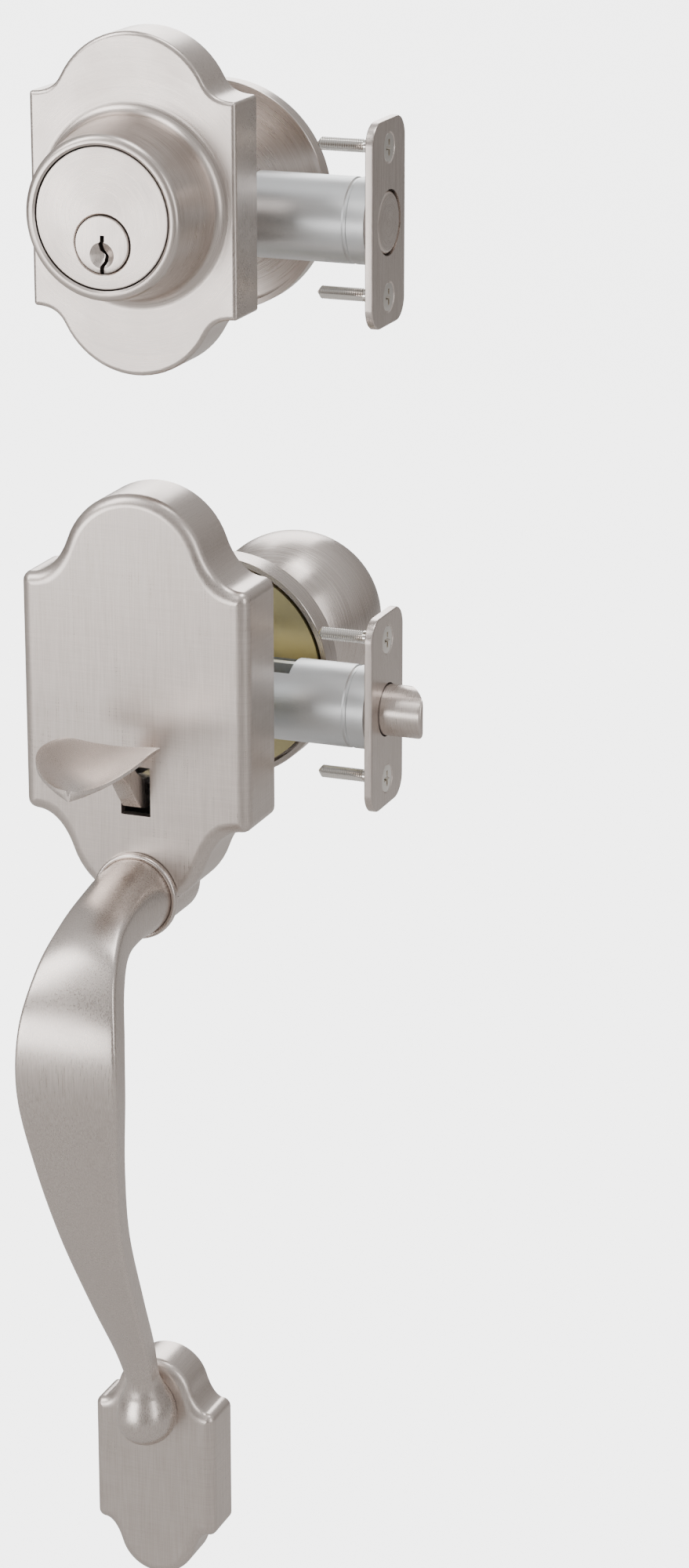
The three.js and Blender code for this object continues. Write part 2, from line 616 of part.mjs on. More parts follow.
// The slot in a bolt's tail for the link's tongue, and the hole for the rivet.
function tailCuts(unit) {
  const slotEnd = unit.boltTail + unit.tongue + CLEAR;
  const half = link.half + CLEAR;
  const tall = unit.boltRadius + 1;
  return joined(
    block(unit.boltTail - 1, slotEnd, MID_DOOR - half, MID_DOOR + half, -tall, tall),
    barY(1.5 + CLEAR, 0, DOOR_THICKNESS, unit.rivetX, 0, SMALL_ROUND),
  );
}

function rivet(unit) {
  const half = unit.boltRadius - 0.6;
  return barY(1.5, MID_DOOR - half, MID_DOOR + half, unit.rivetX, 0, SMALL_ROUND);
}

// A crank: a hub along Y, an arm beside the link, and a pin that reaches through the link's fork.
function crank({ radius, degrees, pinRadius }, hubCut) {
  const angle = THREE.MathUtils.degToRad(degrees);
  const tip = [radius * Math.sin(angle), radius * Math.cos(angle)];
  const barrel = barY(hub.radius, MID_DOOR - hub.half, MID_DOOR + hub.half, 0, 0, MEDIUM_ROUND);
  const web = slab(roundedRectangle(2.6, radius / 2, 2.5), MID_DOOR + arm.near, MID_DOOR + arm.far, 4);
  const placed = web.translate([0, 0, radius / 2]).rotate([0, degrees, 0]);
  const end = barY(2.8, MID_DOOR + arm.near, MID_DOOR + arm.far, tip[0], tip[1], SMALL_ROUND);
  const pinStart = MID_DOOR - link.half - 0.8;
  const pin = barY(pinRadius, pinStart, MID_DOOR + arm.far - 0.5, tip[0], tip[1], SMALL_ROUND);
  return cut(joined(barrel, placed, end, pin), hubCut);
}

function faceplate(holeRadius) {
  const plate = slab(roundedRectangle(FACEPLATE.width / 2, FACEPLATE.height / 2, FACEPLATE.corner),
    0, FACEPLATE.thickness, 3);
  const turnedPlate = solid(geometryOf(plate).rotateZ(-Math.PI / 2).translate(0, MID_DOOR, 0));
  const placed = turnedPlate.translate([faceplateBack, 0, 0]);
  const { radius, headRadius, headHeight } = FACE_SCREW;
  const holes = [-1, 1].map((side) => {
    const z = (side * FACEPLATE.screwPitch) / 2;
    const slope = (headRadius - radius) / headHeight;
    const lip = 0.3;
    const sink = new THREE.CylinderGeometry(
      headRadius + CLEAR + lip * slope, radius + CLEAR, headHeight + lip, MEDIUM_ROUND,
    );
    sink.rotateZ(-Math.PI / 2).translate(BACKSET + (lip - headHeight) / 2, MID_DOOR, z);
    const shank = barX(radius + CLEAR, faceplateBack - 1, BACKSET + 1, MID_DOOR, z);
    return joined(solid(sink), shank);
  });
  const boltHole = barX(holeRadius, faceplateBack - 1, BACKSET + 1, MID_DOOR, 0, MEDIUM_ROUND);
  return cut(placed, boltHole, ...holes);
}

function addFaceplate(group, prefix, holeRadius) {
  addPiece(group, `${prefix}_faceplate`, "satinNickel", faceplate(holeRadius));
  for (const [side, word] of [[1, "top"], [-1, "bottom"]]) {
    const screw = faceScrewX(BACKSET - 0.1, (side * FACEPLATE.screwPitch) / 2);
    addPiece(group, `${prefix}_faceplate_screw_${word}`, "brightNickel", screw);
  }
}

// Deadbolt unit, drawn back: the crank stands at -45 degrees and turns 90 to throw the bolt.
const boltCrank = { radius: BOLT_UNIT.throw / 2 / Math.sin(Math.PI / 4), degrees: -45, pinRadius: 2.1 };
const boltTail = BACKSET - BOLT_UNIT.boltLength;
const boltUnit = {
  ...BOLT_UNIT, boltTail, boreStart: boltTail - 1, tongue: 8, tongueBack: boltTail - 6, rivetX: boltTail + 4,
  linkReach: boltTail + BOLT_UNIT.throw + 1,
};
const crossScrewHoles = [-1, 1].map((side) =>
  barY(CROSS_SCREW.radius + 0.5, 0, DOOR_THICKNESS, (side * CROSS_SCREW.spacing) / 2, 0, SMALL_ROUND),
);

function deadboltBolt() {
  const nose = 1.2;
  const body = new THREE.LatheGeometry(
    [
      [0, boltTail],
      [boltUnit.boltRadius, boltTail],
      [boltUnit.boltRadius, BACKSET - nose],
      [boltUnit.boltRadius - nose, BACKSET],
      [0, BACKSET],
    ].map(([radius, x]) => new THREE.Vector2(radius, x)),
    MEDIUM_ROUND,
  );
  const bar = solid(body.rotateZ(-Math.PI / 2).translate(0, MID_DOOR, 0));
  const pinBore = barX(3 + CLEAR, boltTail - 1, BACKSET - 6, MID_DOOR, 0, SMALL_ROUND);
  return cut(bar, tailCuts(boltUnit), pinBore);
}

addPiece(deadbolt, "bolt_case", "zincSteel", unitCase(boltUnit, crossScrewHoles));
addPiece(deadbolt, "deadbolt_bolt", "satinNickel", deadboltBolt());
addPiece(deadbolt, "anti_saw_pin", "hardSteel",
  barX(3, boltTail + boltUnit.tongue + 1, BACKSET - 6 - CLEAR, MID_DOOR, 0, SMALL_ROUND));
addPiece(deadbolt, "bolt_link", "zincSteel", unitLink(boltUnit, boltCrank, 18.4));
addPiece(deadbolt, "bolt_link_rivet", "hardSteel", rivet(boltUnit));
addPiece(deadbolt, "bolt_crank", "zincSteel",
  crank(boltCrank, tailBarHole(0, DOOR_THICKNESS)));
addFaceplate(deadbolt, "deadbolt", boltUnit.boltRadius + 0.4);

// Latch unit, thrown: the crank stands at +30 degrees and turns 60 the other way to draw the latch.
const latchCrank = { radius: LATCH_UNIT.throw, degrees: 30, pinRadius: 1.8 };
const latchTail = BACKSET - LATCH_UNIT.boltLength;
const latchUnit = {
  ...LATCH_UNIT, boltTail: latchTail, boreStart: latchTail - LATCH_UNIT.throw - 1, tongue: 7,
  tongueBack: latchTail - 5, rivetX: latchTail + 3.5, linkReach: latchTail + 1,
};
const postHoles = [-1, 1].map((side) =>
  barY(HANDLE_POST.radius + 0.5, 0, DOOR_THICKNESS, (side * HANDLE_POST.spacing) / 2, 0, MEDIUM_ROUND),
);

// The latch bolt has a slanted striking face towards the inside of the door.
function latchBolt() {
  const tip = BACKSET + latchUnit.projection;
  const bar = barX(latchUnit.boltRadius, latchTail, tip, MID_DOOR, 0, MEDIUM_ROUND);
  const slant = polygon([[BACKSET + 1, 1], [tip + 1, -14], [tip + 1, 1]]);
  const depth = 2 * latchUnit.boltRadius + 2;
  const wedge = new THREE.ExtrudeGeometry(slant, { depth, bevelEnabled: false });
  wedge.translate(0, 0, -latchUnit.boltRadius - 1);
  const placed = solid(wedge.translate(0, MID_DOOR + latchUnit.boltRadius, 0));
  return cut(bar, placed, tailCuts(latchUnit));
}

const handle = new THREE.Group();
addPiece(handle, "latch_case", "zincSteel", unitCase(latchUnit, postHoles));
addPiece(handle, "latch_bolt", "satinNickel", latchBolt());
addPiece(handle, "latch_link", "zincSteel", unitLink(latchUnit, latchCrank, 13.6));
addPiece(handle, "latch_link_rivet", "hardSteel", rivet(latchUnit));
const spindleHole = SPINDLE.side / 2 + CLEAR;
addPiece(handle, "latch_crank", "zincSteel",
  crank(latchCrank,
    block(-spindleHole, spindleHole, 0, DOOR_THICKNESS, -spindleHole, spindleHole)));
addFaceplate(handle, "latch", latchUnit.boltRadius + 0.4);
const latchSpring = addPiece(handle, "latch_spring", "hardSteel",
  coilX(2.2, 0.45, 28.2, latchUnit.tongueBack - 1, 6));
latchSpring.position.set(0, MID_DOOR, -4.6);

// ---------------------------------------------------------------- handle, upper plate
const handlePlateInner = -HANDLE_PLATE.thickness + HANDLE_PLATE.wall;
const gripTop = GRIP_STATIONS[0];

function handlePlate() {
  const shell = archedShell(HANDLE_PLATE);
  const slotHalf = THUMB_SLOT.width / 2;
  const slot = block(
    -slotHalf, slotHalf, -HANDLE_PLATE.thickness - 1, handlePlateInner + 1,
    THUMB_SLOT.bottom - PLATE_RISE, THUMB_SLOT.top - PLATE_RISE,
  );
  const boltHole = barY(GRIP_BOLT.radius + CLEAR, -HANDLE_PLATE.thickness - 1, handlePlateInner + 1,
    0, gripBoltZ - PLATE_RISE);
  return cut(shell, slot, boltHole);
}

// The steel plate that closes the back of the upper plate and carries the posts.
function handleBackPlate() {
  const outline = archedOutline(HANDLE_PLATE, HANDLE_PLATE.wall + CLEAR);
  const sheet = slab(outline, -BACK_PLATE_THICKNESS, 0, 6).translate([0, 0, PLATE_RISE]);
  const liftWindow = block(
    -LIFT.width / 2, LIFT.width / 2, -5, 1,
    LIFT.bottom - 2 * CLEAR, LIFT.bottom + LIFT.ledge + LIFT.travel + 2 * CLEAR,
  );
  const holes = [-1, 1].map((side) =>
    barY(HANDLE_POST.bore + CLEAR, -5, 1, (side * HANDLE_POST.spacing) / 2),
  );
  return cut(joined(sheet, pivotCheek(-1), pivotCheek(1)), liftWindow, ...holes);
}

// An ear bent up from the back plate that holds one end of the pivot pin.
function pivotCheek(side) {
  const inner = side * (LIFT.width / 2 + 1.2);
  const outer = side * (LIFT.width / 2 + 3.2);
  const cheek = block(Math.min(inner, outer), Math.max(inner, outer), THUMB_PIVOT.y - 3.6, -1,
    THUMB_PIVOT.z - 4, THUMB_PIVOT.z + 4);
  return cut(cheek, barX(THUMB_PIVOT.radius + CLEAR, -14, 14, THUMB_PIVOT.y, THUMB_PIVOT.z));
}

function handlePost(side) {
  const x = (side * HANDLE_POST.spacing) / 2;
  const tube = barY(HANDLE_POST.radius, CLEAR, HANDLE_POST.length, x, 0, MEDIUM_ROUND);
  const tailStub = barY(HANDLE_POST.bore, -BACK_PLATE_THICKNESS - 1, CLEAR + 0.5, x, 0, SMALL_ROUND);
  return cut(joined(tube, tailStub), barY(HANDLE_POST.bore, 6, HANDLE_POST.length + 1, x, 0, SMALL_ROUND));
}

// ---------------------------------------------------------------- thumbpiece
// The paddle's width as a share of its widest, from its straight back edge to its round tip.
function paddleShare(out) {
  const { backShare, widest } = PADDLE;
  if (out < widest) return backShare + (1 - backShare) * Math.sin((out / widest) * (Math.PI / 2));
  return Math.sqrt(Math.max(0, 1 - ((out - widest) / (1 - widest)) ** 2));
}

// A dished paddle in front of the plate, a stem down into the slot, and a tail behind the pivot.
function thumbPaddle() {
  const columns = 10;
  const rows = 7;
  const sheet = new THREE.BoxGeometry(2, 1, 1, columns, 1, rows);
  const place = sheet.attributes.position;
  const reach = PADDLE.back - PADDLE.tip;
  for (let i = 0; i < place.count; i++) {
    const across = place.getX(i);
    const out = 0.5 - place.getZ(i);
    const x = across * PADDLE.halfWidth * Math.max(paddleShare(out), 0.02);
    const y = PADDLE.back - out * reach;
    const dish = PADDLE.dish * (1 - across ** 2) * (0.35 + 0.65 * Math.sin(out * Math.PI * 0.9));
    const rim = PADDLE.top + PADDLE.lift * Math.sin(out * Math.PI) - PADDLE.drop * out ** 3;
    const top = rim - dish;
    place.setXYZ(i, x, y, place.getY(i) > 0 ? top : top - PADDLE.thickness);
  }
  return solid(sheet);
}

function thumbpiece() {
  const half = THUMB_STEM_WIDTH / 2;
  const side = new THREE.Shape();
  side.moveTo(-41, -3.6);
  side.lineTo(-35, -2.2);
  side.lineTo(-29, -6.5);
  side.lineTo(-22, -13.5);
  side.lineTo(-9, -16.8);
  side.lineTo(-2.6, -17.2);
  side.lineTo(-2.6, -19.6);
  side.lineTo(-8.6, -23.2);
  side.lineTo(-13.4, -24);
  side.lineTo(-22, -23.2);
  side.lineTo(-33, -12);
  side.lineTo(-42, -6.5);
  side.closePath();
  const web = new THREE.ExtrudeGeometry(side, { depth: 2 * half, bevelEnabled: false });
  web.applyMatrix4(new THREE.Matrix4().set(0, 0, 1, -half, 1, 0, 0, 0, 0, 1, 0, 0, 0, 0, 0, 1));
  const pivot = barX(THUMB_PIVOT.radius + CLEAR, -half - 1, half + 1, THUMB_PIVOT.y, THUMB_PIVOT.z);
  return cut(joined(solid(web), thumbPaddle()), pivot);
}

function thumbPivotPin() {
  const half = LIFT.width / 2 + 3.6;
  return barX(THUMB_PIVOT.radius, -half, half, THUMB_PIVOT.y, THUMB_PIVOT.z);
}

// The slide that the thumbpiece's tail pushes up; its ledge reaches back to the latch.
function liftSlide() {
  const front = -BACK_PLATE_THICKNESS - CLEAR - LIFT.thickness;
  const face = block(-LIFT.width / 2, LIFT.width / 2, front, front + LIFT.thickness, LIFT.bottom, LIFT.top);
  const ledge = block(
    -LIFT.width / 2 + 1, LIFT.width / 2 - 1, front, LIFT.reach, LIFT.bottom, LIFT.bottom + LIFT.ledge,
  );
  return joined(face, ledge);
}

// ---------------------------------------------------------------- grip and lower plate
// The grip's section swept through its stations and joined to the rounded foot.
function gripSweep() {
  const centre = new THREE.CatmullRomCurve3(
    GRIP_STATIONS.map(({ y, z }) => new THREE.Vector3(0, y, z)), false, "centripetal",
  );
  const last = GRIP_STATIONS.length - 1;
  const blend = (key, t) => {
    const at = Math.min(t * last, last - 1e-6);
    const i = Math.floor(at);
    const [p0, p1, p2, p3] = [-1, 0, 1, 2].map(
      (step) => GRIP_STATIONS[THREE.MathUtils.clamp(i + step, 0, last)][key],
    );
    const f = at - i;
    const slope1 = (p2 - p0) / 2;
    const slope2 = (p3 - p1) / 2;
    const a = 2 * (p1 - p2) + slope1 + slope2;
    const b = 3 * (p2 - p1) - 2 * slope1 - slope2;
    return ((a * f + b) * f + slope1) * f + p1;
  };
  const bar = new THREE.CylinderGeometry(1, 1, 1, GRIP_SPLITS.around, GRIP_SPLITS.along);
  const place = bar.attributes.position;
  for (let i = 0; i < place.count; i++) {
    const t = 0.5 - place.getY(i);
    const [c, s] = [place.getX(i), place.getZ(i)];
    const point = centre.getPoint(t);
    const along = centre.getTangent(t);
    const outward = new THREE.Vector3(0, -along.z, along.y).multiplyScalar(-1);
    const power = 2 / blend("square", t);
    const across = (Math.sign(c) * Math.abs(c) ** power * blend("width", t)) / 2;
    const away = (Math.sign(s) * Math.abs(s) ** power * blend("thick", t)) / 2;
    point.addScaledVector(outward, away);
    point.x += across;
    place.setXYZ(i, point.x, point.y, point.z);
  }
  return solid(bar);
}

const gripBoltZ = gripTop.z + 6;

function grip() {
  const ball = new THREE.SphereGeometry(1, 20, SMALL_ROUND);
  ball.scale(GRIP_FOOT.halfWidth, GRIP_FOOT.halfDepth, GRIP_FOOT.halfHeight);
  const foot = solid(ball.translate(0, GRIP_FOOT.y, GRIP_FOOT.z));
  const plateFront = -HANDLE_PLATE.thickness;
  const bead = barY(12.5, plateFront - 2.2, plateFront + 0.5, 0, gripTop.z, MEDIUM_ROUND);
  const beadCut = cut(
    barY(20, plateFront - 1.1, plateFront + 1, 0, gripTop.z, MEDIUM_ROUND),
    barY(11.7, plateFront - 2, plateFront + 2, 0, gripTop.z, MEDIUM_ROUND),
  );
  const upperEnd = plateFront - CLEAR - GRIP_BOLT.depth - 1;
  const upperHole = barY(GRIP_BOLT.radius + CLEAR, upperEnd, 1, 0, gripBoltZ);
  const lowerFront = -LOWER_PLATE.thickness;
  const lowerEnd = lowerFront - CLEAR - GRIP_BOLT.depth;
  const lowerHole = barY(GRIP_BOLT.radius + CLEAR, lowerEnd, 1, 0, GRIP_FOOT.z);
  const upperCutter = archedCutter(HANDLE_PLATE).translate([0, 0, PLATE_RISE]);
  const lowerCutter = archedCutter(LOWER_PLATE).translate([0, 0, LOWER_PLATE_Z]);
  const whole = joined(gripSweep(), foot, cut(bead, beadCut));
  return cut(whole, upperCutter, lowerCutter, upperHole, lowerHole);
}

// A pan-head bolt driven from behind, through a plate's front wall and into the grip.
function gripBolt(wallBack, depth) {
  const seat = wallBack + CLEAR;
  const top = seat + GRIP_BOLT.headHeight;
  const head = barY(GRIP_BOLT.headRadius, seat, top, 0, 0, MEDIUM_ROUND);
  const shank = barY(GRIP_BOLT.radius, wallBack - depth, seat + 0.5, 0, 0, SMALL_ROUND);
  return cut(joined(head, shank), crossRecess(GRIP_BOLT.headRadius, top, 1));
}

const lowerPlateInner = -LOWER_PLATE.thickness + LOWER_PLATE.wall;

function lowerPlate() {
  const hole = barY(GRIP_BOLT.radius + CLEAR, -LOWER_PLATE.thickness - 1, lowerPlateInner + 1,
    0, GRIP_FOOT.z - LOWER_PLATE_Z);
  return cut(archedShell(LOWER_PLATE), hole);
}

// The keyhole plate that hangs the lower plate on its anchor screw.
function lowerBackPlate() {
  const outline = archedOutline(LOWER_PLATE, LOWER_PLATE.wall + CLEAR);
  const sheet = slab(outline, -BACK_PLATE_THICKNESS, 0, 6);
  const wide = barY(4.6, -5, 1, 0, -10, MEDIUM_ROUND);
  const narrow = block(-2.4, 2.4, -5, 1, -10, -0.5);
  return cut(sheet, wide, narrow);
}

function lowerAnchorScrew() {
  const headBack = -BACK_PLATE_THICKNESS - CLEAR;
  const head = barY(3.9, headBack - 2.4, headBack, 0, 0, SMALL_ROUND);
  const shank = coneY(2, 0.6, headBack - 0.5, 26, 0, 0, SMALL_ROUND);
  return cut(joined(head, shank), crossRecess(3.9, headBack - 2.4, -1));
}

addPiece(handle, "handle_plate", "satinNickel", handlePlate()).position.z = PLATE_RISE;
addPiece(handle, "handle_back_plate", "zincSteel", handleBackPlate());
addPiece(handle, "handle_post_left", "yellowZinc", handlePost(-1));
addPiece(handle, "handle_post_right", "yellowZinc", handlePost(1));
addPiece(handle, "thumbpiece", "satinNickel", thumbpiece());
addPiece(handle, "thumb_pivot_pin", "hardSteel", thumbPivotPin());
addPiece(handle, "lift_slide", "zincSteel", liftSlide());
addPiece(handle, "grip", "satinNickel", grip());
const upperGripBolt = gripBolt(handlePlateInner, HANDLE_PLATE.wall + GRIP_BOLT.depth);
addPiece(handle, "grip_bolt_upper", "zincSteel", upperGripBolt).position.z = gripBoltZ;
const lowerGripBolt = gripBolt(lowerPlateInner, LOWER_PLATE.wall + GRIP_BOLT.depth - 2);
addPiece(handle, "grip_bolt_lower", "zincSteel", lowerGripBolt).position.z = GRIP_FOOT.z;
addPiece(handle, "lower_plate", "satinNickel", lowerPlate()).position.z = LOWER_PLATE_Z;
addPiece(handle, "lower_back_plate", "zincSteel", lowerBackPlate()).position.z = LOWER_PLATE_Z;
addPiece(handle, "lower_anchor_screw", "zincSteel", lowerAnchorScrew()).position.z = LOWER_PLATE_Z - 3;

// ---------------------------------------------------------------- inside knob
// The rose's face is a trumpet that rises from the rim to the neck.
function trumpet(offset, steps = 5) {
  const { radius, side, neckRadius, neckHeight } = KNOB_ROSE;
  const points = [];
  for (let i = 0; i <= steps; i++) {
    const f = i / steps;
    const r = radius - 1 + (neckRadius - radius + 1) * f;
    const rise = (neckHeight - side) * f ** 2.4;
    points.push([r, DOOR_THICKNESS + side + rise - offset]);
  }
  return points;
}

function knobRose() {
  const { radius, side, wall, neckRadius } = KNOB_ROSE;
  const shell = turned([
    [radius, DOOR_THICKNESS],
    [radius, DOOR_THICKNESS + side - 1],
    ...trumpet(0),
    [neckRadius, DOOR_THICKNESS + KNOB_ROSE.neckHeight - wall],
    ...trumpet(wall).reverse().slice(1, -1),
    [radius - wall, DOOR_THICKNESS + side - wall],
    [radius - wall, DOOR_THICKNESS],
  ]);
  const holes = [-1, 1].map((side) =>
    knobScrewBar(side, KNOB_SCREW.holeRadius, DOOR_THICKNESS + 3, DOOR_THICKNESS + 30),
  );
  const notch = block(-radius - 1, -radius + wall / 2, DOOR_THICKNESS - 1, DOOR_THICKNESS + 2, -2, 2);
  return cut(shell, ...holes, notch);
}

// A round bar on the axis of the knob's left (-1) or right (1) screw.
function knobScrewBar(side, radius, y0, y1) {
  return barY(radius, y0, y1, (side * KNOB_SCREW.spacing) / 2, 0, MEDIUM_ROUND);
}

// A stamped plate with two tubes that reach the rose's holes.
function knobMountPlate() {
  const inside = DOOR_THICKNESS;
  const plateRadius = KNOB_ROSE.radius - KNOB_ROSE.wall - 1;
  const plate = barY(plateRadius, inside, inside + MOUNT_PLATE_THICKNESS, 0, 0, MEDIUM_ROUND);
  const tubes = [-1, 1].map((side) =>
    knobScrewBar(side, KNOB_SCREW.tubeRadius, inside + 1, inside + KNOB_ROSE.side - 0.4),
  );
  const bores = [-1, 1].map((side) =>
    joined(
      knobScrewBar(side, KNOB_SCREW.bore, inside + MOUNT_PLATE_THICKNESS, inside + 30),
      knobScrewBar(side, KNOB_SCREW.shank + CLEAR, inside - 1, inside + 3),
    ),
  );
  const centre = barY(SLEEVE.clearHole, inside - 1, inside + 3, 0, 0, MEDIUM_ROUND);
  return cut(joined(plate, ...tubes), ...bores, centre);
}

// The ball, its neck and its shank as one hollow turning, open at the back.
function knobBall() {
  const centre = DOOR_THICKNESS + KNOB.centre;
  const start = DOOR_THICKNESS + KNOB_ROSE.neckHeight - 3;
  const join = THREE.MathUtils.radToDeg(Math.acos(KNOB.neckRadius / KNOB.ballRadius)) + 2;
  const innerBall = KNOB.ballRadius - KNOB.wall;
  const innerJoin = THREE.MathUtils.radToDeg(Math.acos((KNOB.neckRadius - KNOB.wall) / innerBall));
  const outer = arcPoints(0, centre, KNOB.ballRadius, -join, 90, 11);
  outer[outer.length - 1][0] = 0;
  const inner = arcPoints(0, centre, innerBall, 90, -innerJoin, 6);
  inner[0][0] = 0;
  const neckEnd = outer[0][1];
  return turned([
    [KNOB.shankRadius - KNOB.wall, start],
    [KNOB.shankRadius, start],
    [KNOB.shankRadius, start + 3.6],
    [KNOB.neckRadius + 0.8, start + 7],
    [KNOB.neckRadius, (start + neckEnd) / 2 + 2],
    [KNOB.neckRadius + 0.3, neckEnd - 2],
    ...outer,
    ...inner,
    [KNOB.neckRadius - KNOB.wall, start + 9],
  ]);
}

// The sleeve that carries the knob in its rose, with a square hole for the spindle.
function knobSleeve() {
  const start = DOOR_THICKNESS + 0.6;
  const step = DOOR_THICKNESS + KNOB_ROSE.neckHeight - 4;
  const end = DOOR_THICKNESS + KNOB_ROSE.neckHeight + 12;
  const tube = barY(SLEEVE.radius, start, end, 0, 0, MEDIUM_ROUND);
  const seat = barY(KNOB.neckRadius - KNOB.wall - CLEAR, step, end, 0, 0, MEDIUM_ROUND);
  const half = SPINDLE.side / 2 + CLEAR;
  return cut(joined(tube, seat), block(-half, half, start - 1, end + 1, -half, half));
}

function spindle() {
  const half = SPINDLE.side / 2;
  return block(-half, half, SPINDLE.start, SPINDLE.end, -half, half);
}

addPiece(handle, "knob_rose", "satinNickel", knobRose());
addPiece(handle, "knob_mount_plate", "yellowZinc", knobMountPlate());
addPiece(handle, "knob", "satinNickel", knobBall());
addPiece(handle, "knob_sleeve", "zincSteel", knobSleeve());
addPiece(handle, "spindle", "zincSteel", spindle());
addPiece(handle, "knob_clip", "hardSteel",
  openRing(
    SLEEVE.radius + CLEAR, SLEEVE.clipRadius,
    DOOR_THICKNESS + MOUNT_PLATE_THICKNESS + CLEAR, DOOR_THICKNESS + 3.6,
  ));
for (const [side, word] of [[-1, "left"], [1, "right"]]) {
  const headBack = DOOR_THICKNESS + MOUNT_PLATE_THICKNESS + CLEAR;
  const headTop = headBack + KNOB_SCREW.headHeight;
  const head = barY(KNOB_SCREW.headRadius, headBack, headTop);
  const shank = barY(KNOB_SCREW.shank, KNOB_SCREW.end, headBack + 0.2);
  const screw = addPiece(handle, `knob_screw_${word}`, "brightNickel",
    cut(joined(head, shank), crossRecess(KNOB_SCREW.headRadius, headTop, 1)));
  screw.position.x = (side * KNOB_SCREW.spacing) / 2;
}

const entryLockSet = new THREE.Group();
entryLockSet.add(deadbolt, handle);

export default entryLockSet;
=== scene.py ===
"""Matched entry lock set: keyed deadbolt over a thumb-latch grip handle, with thumbturn and knob.

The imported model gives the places. Each class models one sub-assembly round it in millimetres,
dresses it in its finish and lets it ride on its body.
"""

from __future__ import annotations

import json
import logging
import math
from dataclasses import dataclass
from enum import Enum
from typing import Callable, Sequence

import bmesh
import bpy
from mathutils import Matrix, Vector


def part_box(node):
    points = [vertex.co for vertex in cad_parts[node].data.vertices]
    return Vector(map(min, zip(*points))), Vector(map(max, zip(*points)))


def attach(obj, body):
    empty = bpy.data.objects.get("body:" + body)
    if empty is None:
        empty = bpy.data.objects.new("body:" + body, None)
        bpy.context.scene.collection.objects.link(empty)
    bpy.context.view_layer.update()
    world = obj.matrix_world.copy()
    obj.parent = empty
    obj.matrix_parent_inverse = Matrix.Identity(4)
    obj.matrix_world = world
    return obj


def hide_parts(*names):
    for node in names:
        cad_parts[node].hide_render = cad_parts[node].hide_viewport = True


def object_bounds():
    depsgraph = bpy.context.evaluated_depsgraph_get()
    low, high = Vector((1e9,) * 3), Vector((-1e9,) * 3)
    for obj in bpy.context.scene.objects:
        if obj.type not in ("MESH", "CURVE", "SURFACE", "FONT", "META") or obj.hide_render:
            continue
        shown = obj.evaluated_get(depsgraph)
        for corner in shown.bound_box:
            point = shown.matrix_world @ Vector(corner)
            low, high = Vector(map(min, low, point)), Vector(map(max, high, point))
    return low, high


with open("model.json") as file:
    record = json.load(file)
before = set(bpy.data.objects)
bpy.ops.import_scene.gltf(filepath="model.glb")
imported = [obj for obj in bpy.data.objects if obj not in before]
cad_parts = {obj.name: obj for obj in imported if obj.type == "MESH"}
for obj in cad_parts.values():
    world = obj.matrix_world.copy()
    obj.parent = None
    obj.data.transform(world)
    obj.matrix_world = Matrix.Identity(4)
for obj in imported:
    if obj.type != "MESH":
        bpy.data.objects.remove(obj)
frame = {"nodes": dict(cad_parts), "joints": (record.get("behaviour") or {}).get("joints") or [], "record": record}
CAD_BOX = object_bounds()

MM = 0.001
ROUND_STEPS = 96
FINE_STEPS = 128
SCREW_STEPS = 40
POST_STEPS = 48
SMOOTH_ANGLE = 32.0
TOOL_STEPS = 71
TOOL_TURN = 0.13
EDGE_SPREAD = 1.25
log = logging.getLogger("entry_lock_set")

Point2 = tuple[float, float]
Point3 = tuple[float, float, float]
Colour = tuple[float, float, float]
Socket = bpy.types.NodeSocket
Piece = bpy.types.Object


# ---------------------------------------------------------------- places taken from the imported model
def corners(node: str) -> tuple[Vector, Vector]:
    """Give a CAD node's lowest and highest corners.

    Args:
        node: The node's name.

    Returns:
        Both corners in millimetres.
    """
    low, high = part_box(node)
    return low / MM, high / MM


def joint_place(name: str) -> Vector:
    """Give a joint's position.

    Args:
        name: The joint's name.

    Returns:
        The position in millimetres.
    """
    joint = next(j for j in frame["joints"] if j["name"] == name)
    return Vector(joint["pos_m"]) / MM


@dataclass(frozen=True)
class Door:
    """Where the door and the lock's axes are, in millimetres."""

    inside: float
    middle: float
    edge: float
    deadbolt_z: float
    latch_z: float

    @classmethod
    def from_frame(cls) -> "Door":
        """Read the door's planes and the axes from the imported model.

        Returns:
            The door's planes and axes.
        """
        return cls(
            inside=corners("thumbturn_rose")[0].y,
            middle=joint_place("crank_turn").y,
            edge=corners("deadbolt_faceplate")[1].x,
            deadbolt_z=joint_place("thumbturn_turn").z,
            latch_z=joint_place("knob_turn").z,
        )


# ---------------------------------------------------------------- lines and outlines
def arc(centre: Point2, radius: float, start: float, end: float, steps: int = 8) -> list[Point2]:
    """Draw an arc.

    Args:
        centre: The arc's centre.
        radius: Its radius.
        start: First angle in degrees.
        end: Last angle in degrees.
        steps: Number of stretches.

    Returns:
        The points, both ends included.
    """
    turns = [math.radians(start + (end - start) * i / steps) for i in range(steps + 1)]
    return [(centre[0] + radius * math.cos(a), centre[1] + radius * math.sin(a)) for a in turns]


def curve(p0: Point2, p1: Point2, p2: Point2, p3: Point2, steps: int = 14) -> list[Point2]:
    """Draw a Bezier curve, without its first point.

    Args:
        p0: Start.
        p1: First handle.
        p2: Second handle.
        p3: End.
        steps: Number of stretches.

    Returns:
        The points after the start.
    """
    points = []
    for i in range(1, steps + 1):
        t = i / steps
        weights = ((1 - t) ** 3, 3 * t * (1 - t) ** 2, 3 * t * t * (1 - t), t**3)
        points.append(tuple(sum(w * p[k] for w, p in zip(weights, (p0, p1, p2, p3))) for k in (0, 1)))
    return points


